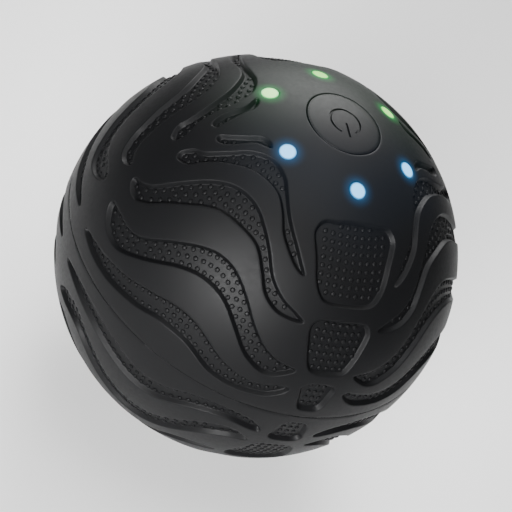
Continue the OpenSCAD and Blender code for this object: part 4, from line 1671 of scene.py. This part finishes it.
class Sketch:
    """A new material with its main shader, and short ways to add to it."""

    def __init__(
        self, name: str, colour: tuple[float, float, float], roughness: float, **sockets: float
    ) -> None:
        """Starts the material.

        Args:
            name: The material's name.
            colour: Its base colour, linear.
            roughness: Its roughness.
            **sockets: Constants for other sockets, with _ for a space.
        """
        self.material = bpy.data.materials.new(name)
        self.material.use_nodes = True
        tree = self.material.node_tree
        self.wire = Wiring(tree)
        self.shader = tree.nodes["Principled BSDF"]
        self.shader.inputs["Base Color"].default_value = (*colour, 1)
        self.shader.inputs["Roughness"].default_value = roughness
        for socket, value in sockets.items():
            self.shader.inputs[socket.replace("_", " ")].default_value = value
        self.place = self.wire.node("ShaderNodeTexCoord").outputs["Object"]

    def noise(
        self, size: float, detail: float = 3.0, stretch: tuple[float, float, float] = (1, 1, 1)
    ) -> bpy.types.NodeSocket:
        """Adds noise on Object coordinates.

        Args:
            size: About how wide its spots are, in metres.
            detail: How many finer layers it has.
            stretch: Scale of the coordinates along each axis.

        Returns:
            Its value's socket.
        """
        place = self.place
        if stretch != (1, 1, 1):
            mapping = self.wire.node("ShaderNodeMapping", {"Scale": stretch, "Vector": place})
            place = mapping.outputs[0]
        feeds = {"Scale": 1 / size, "Detail": detail, "Vector": place}
        return self.wire.node("ShaderNodeTexNoise", feeds).outputs["Fac"]

    def distance(self, place: tuple[float, float, float]) -> bpy.types.NodeSocket:
        """Distance of the surface from a place, in metres."""
        ends = {0: self.place, 1: place}
        return self.wire.node("ShaderNodeVectorMath", ends, operation="DISTANCE").outputs["Value"]

    def ramp(
        self, value: bpy.types.NodeSocket, low: float, high: float,
        at: tuple[float, float] = (0.3, 0.7),
    ) -> bpy.types.NodeSocket:
        """Maps a pattern's values to a range.

        Args:
            value: The pattern's socket.
            low: What the lower end of the pattern becomes.
            high: What its upper end becomes.
            at: The pattern's values at its two ends.

        Returns:
            The mapped value's socket.
        """
        mapped = self.wire.node("ShaderNodeMapRange", {
            "Value": value, "From Min": at[0], "From Max": at[1], "To Min": low, "To Max": high,
        })
        return mapped.outputs[0]

    def blend(
        self, value: bpy.types.NodeSocket, first: object, second: object
    ) -> bpy.types.NodeSocket:
        """Blends two colours by a value.

        Args:
            value: The share of the second colour.
            first: A colour or its socket.
            second: A colour or its socket.

        Returns:
            The blended colour's socket.
        """
        ends = [
            colour if isinstance(colour, bpy.types.NodeSocket) else (*colour, 1)
            for colour in (first, second)
        ]
        feeds = {0: value, 6: ends[0], 7: ends[1]}
        return self.wire.node("ShaderNodeMix", feeds, data_type="RGBA").outputs[2]

    def relief(self, height: bpy.types.NodeSocket, distance: float, strength: float = 1.0) -> None:
        """Bumps the surface by a pattern.

        Args:
            height: The pattern's socket.
            distance: Height of the bumps, in metres.
            strength: Share of that height that shows.
        """
        feeds = {"Distance": distance, "Strength": strength, "Height": height}
        bump = self.wire.node("ShaderNodeBump", feeds)
        self.wire.join(bump.outputs[0], self.shader.inputs["Normal"])

    def colour(self, socket: bpy.types.NodeSocket) -> None:
        """Takes the base colour from a pattern."""
        self.wire.join(socket, self.shader.inputs["Base Color"])

    def roughness(self, socket: bpy.types.NodeSocket) -> None:
        """Takes the roughness from a pattern."""
        self.wire.join(socket, self.shader.inputs["Roughness"])


def shaded(colour: tuple[float, float, float], share: float) -> tuple[float, float, float]:
    """A colour made lighter or darker by a share, no part of it above 1."""
    return tuple(min(1.0, part * share) for part in colour)


@dataclass(frozen=True)
class Moulded:
    """Moulded plastic, rubber or ceramic with a fine grain and slight mottling.

    Attributes:
        colour: Base colour.
        roughness: Mean roughness.
        grain: Width of the grain, in metres.
        relief: Height of the grain, in metres.
        mottle: How much lighter and darker the mottling is, as a share.
    """

    colour: tuple[float, float, float]
    roughness: float = 0.45
    grain: float = 0.0006
    relief: float = 0.00003
    mottle: float = 0.12

    def build(self, name: str) -> bpy.types.Material:
        """Makes the material.

        Args:
            name: What it is called.

        Returns:
            The new material.
        """
        sketch = Sketch(name, self.colour, self.roughness)
        broad = sketch.noise(0.012)
        light, dark = shaded(self.colour, 1 + self.mottle), shaded(self.colour, 1 - self.mottle)
        sketch.colour(sketch.blend(broad, dark, light))
        sketch.roughness(sketch.ramp(sketch.noise(0.004), self.roughness - 0.06, self.roughness + 0.06))
        sketch.relief(sketch.noise(self.grain), self.relief)
        return sketch.material


@dataclass(frozen=True)
class Metal:
    """Turned, rolled or plated metal with fine lines along the motor's axis or across it.

    Attributes:
        colour: Base colour.
        roughness: About its mean roughness.
        lines: Stretch of the fine lines along each axis; more makes them closer.
        stain: How much darker the stains are, as a share.
    """

    colour: tuple[float, float, float]
    roughness: float = 0.3
    lines: tuple[float, float, float] = (6.0, 1.0, 1.0)
    stain: float = 0.15

    def build(self, name: str) -> bpy.types.Material:
        """Makes the material.

        Args:
            name: What it is called.

        Returns:
            The new material.
        """
        sketch = Sketch(name, self.colour, self.roughness, Metallic=1.0)
        fine = sketch.noise(0.0012, 4, self.lines)
        sketch.roughness(sketch.ramp(fine, self.roughness - 0.08, self.roughness + 0.12))
        sketch.colour(sketch.blend(sketch.noise(0.009), shaded(self.colour, 1 - self.stain), self.colour))
        sketch.relief(fine, 0.00001, 0.6)
        return sketch.material


@dataclass(frozen=True)
class Layered:
    """Laminations or wound wire: bands of two tones.

    Attributes:
        colour: Colour of the bands.
        second: Colour between the bands.
        pitch: Distance between two bands, in metres.
        metallic: Share of metal.
        roughness: Mean roughness.
        height: Height of the bands, in metres.
        direction: Axis across the bands.
        WAVE: Pitch of a wave texture at scale 1, in metres.
    """

    colour: tuple[float, float, float]
    second: tuple[float, float, float]
    pitch: float
    metallic: float = 0.0
    roughness: float = 0.4
    height: float = 0.00008
    direction: str = "X"

    WAVE = 0.314

    def build(self, name: str) -> bpy.types.Material:
        """Makes the material.

        Args:
            name: What it is called.

        Returns:
            The new material.
        """
        sketch = Sketch(name, self.colour, self.roughness, Metallic=self.metallic)
        bands = sketch.wire.node("ShaderNodeTexWave", {
            "Scale": self.WAVE / self.pitch, "Distortion": 0.6, "Detail": 1.5,
            "Vector": sketch.place,
        }, bands_direction=self.direction)
        share = sketch.ramp(bands.outputs["Fac"], 0, 1, (0.1, 0.6))
        sketch.colour(sketch.blend(share, self.second, self.colour))
        sketch.roughness(sketch.ramp(sketch.noise(0.002), self.roughness - 0.08, self.roughness + 0.08))
        sketch.relief(bands.outputs["Fac"], self.height)
        return sketch.material


@dataclass(frozen=True)
class Board:
    """Circuit board: solder mask over a maze of copper tracks and a few bare pads.

    Attributes:
        colour: Colour of the solder mask.
        track: Colour of the mask over copper.
        pad: Colour of the bare pads.
        track_scale: Scale of the maze; more makes it finer.
        pad_scale: Scale of the pads; more puts them closer.
    """

    colour: tuple[float, float, float] = (0.012, 0.13, 0.05)
    track: tuple[float, float, float] = (0.03, 0.24, 0.09)
    pad: tuple[float, float, float] = (0.75, 0.6, 0.32)
    track_scale: float = 260
    pad_scale: float = 330

    def build(self, name: str) -> bpy.types.Material:
        """Makes the material.

        Args:
            name: What it is called.

        Returns:
            The new material.
        """
        sketch = Sketch(name, self.colour, 0.3, Coat_Weight=0.5, Coat_Roughness=0.2)
        cells = sketch.wire.node(
            "ShaderNodeTexVoronoi", {"Scale": self.track_scale, "Vector": sketch.place},
            distance="CHEBYCHEV", feature="DISTANCE_TO_EDGE",
        )
        tracks = sketch.ramp(cells.outputs["Distance"], 1, 0, (0.06, 0.1))
        dots = sketch.wire.node(
            "ShaderNodeTexVoronoi", {"Scale": self.pad_scale, "Vector": sketch.place}
        )
        pads = sketch.ramp(dots.outputs["Distance"], 1, 0, (0.14, 0.17))
        green = sketch.blend(tracks, self.colour, self.track)
        sketch.colour(sketch.blend(pads, green, self.pad))
        sketch.relief(tracks, 0.00004)
        return sketch.material


@dataclass(frozen=True)
class Silicone:
    """Matte black silicone with a glow painted round the lights set into it, as emission.

    Attributes:
        colour: Base colour.
        roughness: Mean roughness.
        lights: Place of each light, in metres, and the colour of the glow painted round it.
        reach: Where a light's close painted glow starts to fade and where it ends, in metres.
        far_reach: Where its faint wide painted glow ends, in metres.
        far_share: Strength of the wide glow, as a share of the close one.
        fades: Powers by which the close and the wide glow fall off.
        specular: Strength of the mirror-like part of the sheen.
    """

    colour: tuple[float, float, float]
    roughness: float
    lights: tuple[tuple[tuple[float, float, float], tuple[float, float, float]], ...] = ()
    reach: tuple[float, float] = (0.0022, 0.0062)
    far_reach: float = 0.024
    far_share: float = 0.045
    fades: tuple[float, float] = (2.4, 1.5)
    specular: float = 0.13

    def build(self, name: str) -> bpy.types.Material:
        """Makes the material.

        Args:
            name: What it is called.

        Returns:
            The new material.
        """
        sketch = Sketch(name, self.colour, self.roughness, Specular_IOR_Level=self.specular)
        wire = sketch.wire
        dusty = sketch.noise(0.02, 4)
        sketch.colour(sketch.blend(dusty, shaded(self.colour, 0.9), shaded(self.colour, 1.12)))
        fine = sketch.noise(0.0011, 5)
        sketch.roughness(sketch.ramp(fine, self.roughness - 0.04, self.roughness + 0.04))
        sketch.relief(sketch.noise(0.00035, 3), 0.000012, 0.7)
        # Painted glow: emission on the skin that fades with distance from each light, in place of the
        # lights' own light falling on the silicone.
        painted_glow = None
        for place, colour in self.lights:
            apart = sketch.distance(place)
            near = sketch.ramp(apart, 1, 0, self.reach)
            wide = sketch.ramp(apart, 1, 0, (0, self.far_reach))
            close = wire.maths("POWER", near, self.fades[0])
            faint = wire.maths("MULTIPLY", wire.maths("POWER", wide, self.fades[1]), self.far_share)
            steep = wire.maths("ADD", close, faint)
            feeds = {0: colour, "Scale": steep}
            lit = wire.node("ShaderNodeVectorMath", feeds, operation="SCALE").outputs[0]
            if painted_glow is None:
                painted_glow = lit
            else:
                both = {0: painted_glow, 1: lit}
                painted_glow = wire.node("ShaderNodeVectorMath", both, operation="ADD").outputs[0]
        if painted_glow is not None:
            wire.join(painted_glow, sketch.shader.inputs["Emission Color"])
            sketch.shader.inputs["Emission Strength"].default_value = 1.0
        return sketch.material


@dataclass(frozen=True)
class LightLens:
    """Milky clear plastic lit from behind, brightest in the middle of each light.

    Attributes:
        colour: Light of the lens's middle.
        glow: Deeper light of its rim.
        radius: Radius of the lens, in metres.
        places: Middles of the lenses, in metres.
        rim_start: Share of the radius where the rim starts to darken.
        rim_end: Share of the radius where the rim is darkest.
        rim_gain: How much stronger the rim shines than the glow on the skin.
        unlit: Share of the light's colour that the plastic itself has.
    """

    colour: tuple[float, float, float]
    glow: tuple[float, float, float]
    radius: float
    places: tuple[tuple[float, float, float], ...]
    rim_start: float = 0.78
    rim_end: float = 0.93
    # rim_gain: How much stronger the rim shines than the glow painted on the skin.
    rim_gain: float = 2.5
    unlit: float = 0.05

    def build(self, name: str) -> bpy.types.Material:
        """Makes the material.

        Args:
            name: What it is called.

        Returns:
            The new material.
        """
        sketch = Sketch(name, shaded(self.colour, self.unlit), 0.25, Emission_Strength=1.0)
        wire = sketch.wire
        nearest = None
        for place in self.places:
            found = sketch.distance(place)
            nearest = found if nearest is None else wire.maths("MINIMUM", nearest, found)
        rim = sketch.ramp(nearest, 0, 1, (self.rim_start * self.radius, self.rim_end * self.radius))
        edge = shaded(self.glow, self.rim_gain)
        wire.join(sketch.blend(rim, self.colour, edge), sketch.shader.inputs["Emission Color"])
        sketch.relief(sketch.noise(0.0008), 0.00001)
        return sketch.material


INSIDE_FINISHES = {
    "shell_grey": Moulded((0.045, 0.048, 0.054), 0.5),
    "seal_red": Moulded((0.25, 0.045, 0.03), 0.6),
    "board_green": Board(),
    "chip_black": Moulded((0.018, 0.019, 0.021), 0.38, mottle=0.2),
    "led_white": Moulded((0.85, 0.83, 0.72), 0.35, mottle=0.04),
    "connector_cream": Moulded((0.8, 0.75, 0.62), 0.4, mottle=0.05),
    "plunger_white": Moulded((0.78, 0.78, 0.74), 0.35, mottle=0.04),
    "zinc_steel": Metal((0.56, 0.57, 0.6), 0.28),
    "magnet_grey": Moulded((0.09, 0.092, 0.1), 0.5, mottle=0.2),
    "end_cap_cream": Moulded((0.78, 0.74, 0.66), 0.42, mottle=0.06),
    "bronze": Metal((0.5, 0.31, 0.13), 0.4, stain=0.25),
    "carbon": Moulded((0.03, 0.028, 0.027), 0.55, grain=0.0003, mottle=0.3),
    "brass": Metal((0.72, 0.5, 0.2), 0.27, stain=0.12),
    "copper": Layered((0.62, 0.25, 0.1), (0.25, 0.08, 0.03), 0.0005, 0.6, 0.32),
    "lamination": Layered((0.3, 0.31, 0.33), (0.1, 0.1, 0.11), 0.0005, 0.9, 0.38, 0.00003),
    "cradle_grey": Moulded((0.09, 0.1, 0.11), 0.5),
    "clamp_steel": Metal((0.5, 0.51, 0.53), 0.32),
    "band_rubber": Moulded((0.016, 0.016, 0.017), 0.7),
    "cell_steel": Metal((0.62, 0.63, 0.66), 0.24, (1.0, 5.0, 5.0)),
    "sleeve_blue": Moulded((0.03, 0.13, 0.42), 0.28, mottle=0.06),
    "nickel": Metal((0.66, 0.65, 0.6), 0.3),
    "foam_grey": Moulded((0.2, 0.21, 0.19), 0.85, 0.0009, 0.0002, 0.3),
    "lead_red": Moulded((0.5, 0.02, 0.015), 0.35, mottle=0.05),
    "lead_black": Moulded((0.012, 0.012, 0.013), 0.35, mottle=0.05),
}


# ---------------------------------------------------------------- lights, inside and studio


@dataclass
class SignalLights:
    """The six lights round the button: three blue in front, three green behind.

    Attributes:
        ball: The ball's sizes.
        blue: Colour of the blue lights' lenses.
        green: Colour of the green lights' lenses.
        blue_glow: Colour of the glow painted on the skin round the blue lights, and of their lenses'
            rims.
        green_glow: Colour of the glow painted on the skin round the green lights, and of their lenses'
            rims.
        COUNT: Number of lights.
        BLUE_FIRST: Number of the first blue light, counted from the front one.
        GREEN_FIRST: Number of the first green light.
    """

    ball: BallSizes
    blue: tuple[float, float, float] = (0.5, 1.5, 2.6)
    green: tuple[float, float, float] = (0.75, 1.9, 0.35)
    blue_glow: tuple[float, float, float] = (0.0, 0.08, 0.21)
    green_glow: tuple[float, float, float] = (0.0, 0.27, 0.045)

    COUNT = 6
    BLUE_FIRST = -1
    GREEN_FIRST = 2

    def places(self, first: int) -> tuple[tuple[float, float, float], ...]:
        """Finds the places of the three lights of one colour.

        Args:
            first: Number of the first of them, counted from the front light.

        Returns:
            Their places on the ball's surface, in metres.
        """
        found = []
        down = math.radians(self.ball.light_polar)
        for place in range(first, first + self.COUNT // 2):
            around = math.radians(360 / self.COUNT * place)
            reach = self.ball.radius * math.sin(down)
            found.append((
                reach * math.sin(around) * MM, -reach * math.cos(around) * MM,
                (self.ball.height + self.ball.radius * math.cos(down)) * MM,
            ))
        return tuple(found)

    def glows(self) -> tuple:
        """Pairs every light's place with the colour of the glow painted round it.

        Returns:
            The pairs, blue lights first.
        """
        blue = [(place, self.blue_glow) for place in self.places(self.BLUE_FIRST)]
        green = [(place, self.green_glow) for place in self.places(self.GREEN_FIRST)]
        return tuple(blue + green)

    def dress(self) -> None:
        """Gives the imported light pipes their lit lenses."""
        for node, colour, glow, first in (
            ("blue_light_pipes", self.blue, self.blue_glow, self.BLUE_FIRST),
            ("green_light_pipes", self.green, self.green_glow, self.GREEN_FIRST),
        ):
            lens = LightLens(colour, glow, self.ball.light_hole * MM, self.places(first))
            repaint(frame["nodes"][node], lens.build(f"{node}_lit"))
            LOG.info("%s lit, %d lenses", node, len(lens.places))


def repaint(node: bpy.types.Object, material: bpy.types.Material) -> None:
    """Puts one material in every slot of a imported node.

    Args:
        node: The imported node.
        material: Its new material.
    """
    if not node.data.materials:
        node.data.materials.append(material)
    for index in range(len(node.data.materials)):
        node.data.materials[index] = material


@dataclass
class Inside:
    """Everything under the skin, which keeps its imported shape.

    Attributes:
        kept: Materials of the outside, which are dressed elsewhere.
    """

    kept: tuple[str, ...] = ("silicone_black", "button_black", "light_blue", "light_green")

    def dress(self) -> None:
        """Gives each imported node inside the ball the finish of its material."""
        materials = {}
        for part in frame["record"]["subparts"]:
            slot = part["material_slot"]
            if slot in self.kept:
                continue
            if slot not in materials:
                materials[slot] = INSIDE_FINISHES[slot].build(f"{slot}_finish")
            repaint(frame["nodes"][part["node"]], materials[slot])
            LOG.info("%s dressed in %s", part["node"], slot)


@dataclass(frozen=True)
class Softbox:
    """A square soft light aimed at the ball.

    Attributes:
        name: What the light is called.
        aim: Its direction from the ball, across and up the frame and back to the camera.
        size: Its side, in metres.
        power: Its power, in watts.
        spread: How far its light spreads, in degrees.
    """

    name: str
    aim: tuple[float, float, float]
    size: float
    power: float
    spread: float


@dataclass
class Studio:
    """Pale floor, soft lights and the camera.

    Attributes:
        ball: The ball's sizes.
        distance: From the ball's centre to the camera, in metres.
        azimuth: Direction of the camera round the ball, from +X, in degrees.
        elevation: Height of the camera over the horizon, in degrees.
        lean: How far the ball's axis leans to the right in the frame, in degrees.
        lens: Focal length on a 36 mm sensor.
        light_distance: From the ball's centre to each softbox, in metres.
        softboxes: The soft lights.
        sky: Strength of the even light from all round.
        floor_half: Half the floor's side, in metres.
        clip: Nearest and farthest distance that the camera shows, in metres.
    """

    ball: BallSizes
    distance: float = 0.779
    azimuth: float = -127.2
    elevation: float = 40.21
    lean: float = 33.6
    lens: float = 184.0
    light_distance: float = 0.5
    softboxes: tuple[Softbox, ...] = (
        Softbox("key_softbox", (-0.2, -0.24, 0.93), 0.36, 1.35, 46),
        Softbox("top_softbox", (0.38, 0.64, 0.65), 0.45, 1.6, 150),
        Softbox("back_softbox", (0.3, 0.9, -0.25), 0.36, 0.9, 75),
    )
    sky: float = 0.16
    floor_half: float = 6.0
    clip: tuple[float, float] = (0.05, 20)

    def build(self) -> None:
        """Sets up the whole studio."""
        self._floor()
        self._sky()
        middle = Vector((0, 0, self.ball.height * MM))
        turn = self._turn()
        self._camera(middle, turn)
        for softbox in self.softboxes:
            direction = (turn @ Vector(softbox.aim)).normalized()
            self._hang(softbox, middle + direction * self.light_distance, middle)

    def _turn(self) -> Matrix:
        """Works out the camera's axes.

        Returns:
            A matrix of columns: across the frame, up the frame and back to the camera.
        """
        azimuth, elevation = math.radians(self.azimuth), math.radians(self.elevation)
        level = math.cos(elevation)
        back = Vector((math.cos(azimuth) * level, math.sin(azimuth) * level, math.sin(elevation)))
        upright = (Vector((0, 0, 1)) - back * back.z).normalized()
        right = upright.cross(back)
        lean = math.radians(self.lean)
        across = right * math.cos(lean) + upright * math.sin(lean)
        up = upright * math.cos(lean) - right * math.sin(lean)
        return Matrix((across, up, back)).transposed()

    def _floor(self) -> None:
        """A wide pale floor."""
        half = self.floor_half
        corners = [(-half, -half, 0), (half, -half, 0), (half, half, 0), (-half, half, 0)]
        mesh = bpy.data.meshes.new("studio_floor")
        mesh.from_pydata(corners, [], [(0, 1, 2, 3)])
        mesh.materials.append(Sketch("studio_floor", (0.9, 0.9, 0.9), 0.9).material)
        linked("studio_floor", mesh)

    def _sky(self) -> None:
        """Even white light from all round."""
        world = bpy.data.worlds.new("studio_sky")
        world.use_nodes = True
        world.node_tree.nodes["Background"].inputs["Color"].default_value = (1, 1, 1, 1)
        world.node_tree.nodes["Background"].inputs["Strength"].default_value = self.sky
        bpy.context.scene.world = world

    def _hang(self, softbox: Softbox, place: Vector, target: Vector) -> None:
        """Hangs a softbox.

        Args:
            softbox: The softbox.
            place: Where it hangs.
            target: The point that it is aimed at.
        """
        light = bpy.data.lights.new(softbox.name, "AREA")
        light.shape = "SQUARE"
        light.size = softbox.size
        light.energy = softbox.power
        light.spread = math.radians(softbox.spread)
        lamp = linked(softbox.name, light)
        lamp.location = place
        lamp.visible_camera = False
        lamp.rotation_mode = "QUATERNION"
        lamp.rotation_quaternion = (target - place).to_track_quat("-Z", "Y")

    def _camera(self, target: Vector, turn: Matrix) -> None:
        """Sets the camera up, turned so that the ball's axis leans in the frame.

        Args:
            target: The point that it looks at.
            turn: Its axes.
        """
        data = bpy.data.cameras.new("camera")
        data.lens = self.lens
        data.clip_start, data.clip_end = self.clip
        camera = linked("camera", data)
        place = target + turn.col[2] * self.distance
        camera.matrix_world = Matrix.Translation(place) @ turn.to_4x4()
        bpy.context.scene.camera = camera


def main() -> None:
    """Builds every piece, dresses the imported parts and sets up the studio."""
    logging.basicConfig(level=logging.INFO, format="%(name)s: %(message)s")
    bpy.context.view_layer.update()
    ball = BallSizes.from_frame()
    LOG.info("ball radius %.3f mm, centre at %.3f mm", ball.radius, ball.height)
    Studio(ball).build()
    lights = SignalLights(ball)
    # Both silicones get the glow painted round the lights, as emission.
    silicone = Silicone((0.003, 0.0031, 0.0035), 0.5, lights.glows()).build("silicone")
    button_silicone = Silicone((0.0036, 0.0037, 0.0041), 0.46, lights.glows()).build("button_silicone")
    pieces = Skin(ball, silicone).build()
    pieces.append(PowerButton(ball, button_silicone).build())
    lights.dress()
    Inside().dress()
    for piece in pieces:
        triangles = sum(len(face.vertices) - 2 for face in piece.data.polygons)
        LOG.info("%s: %d triangles", piece.name, triangles)


if __name__ == "__main__":
    main()
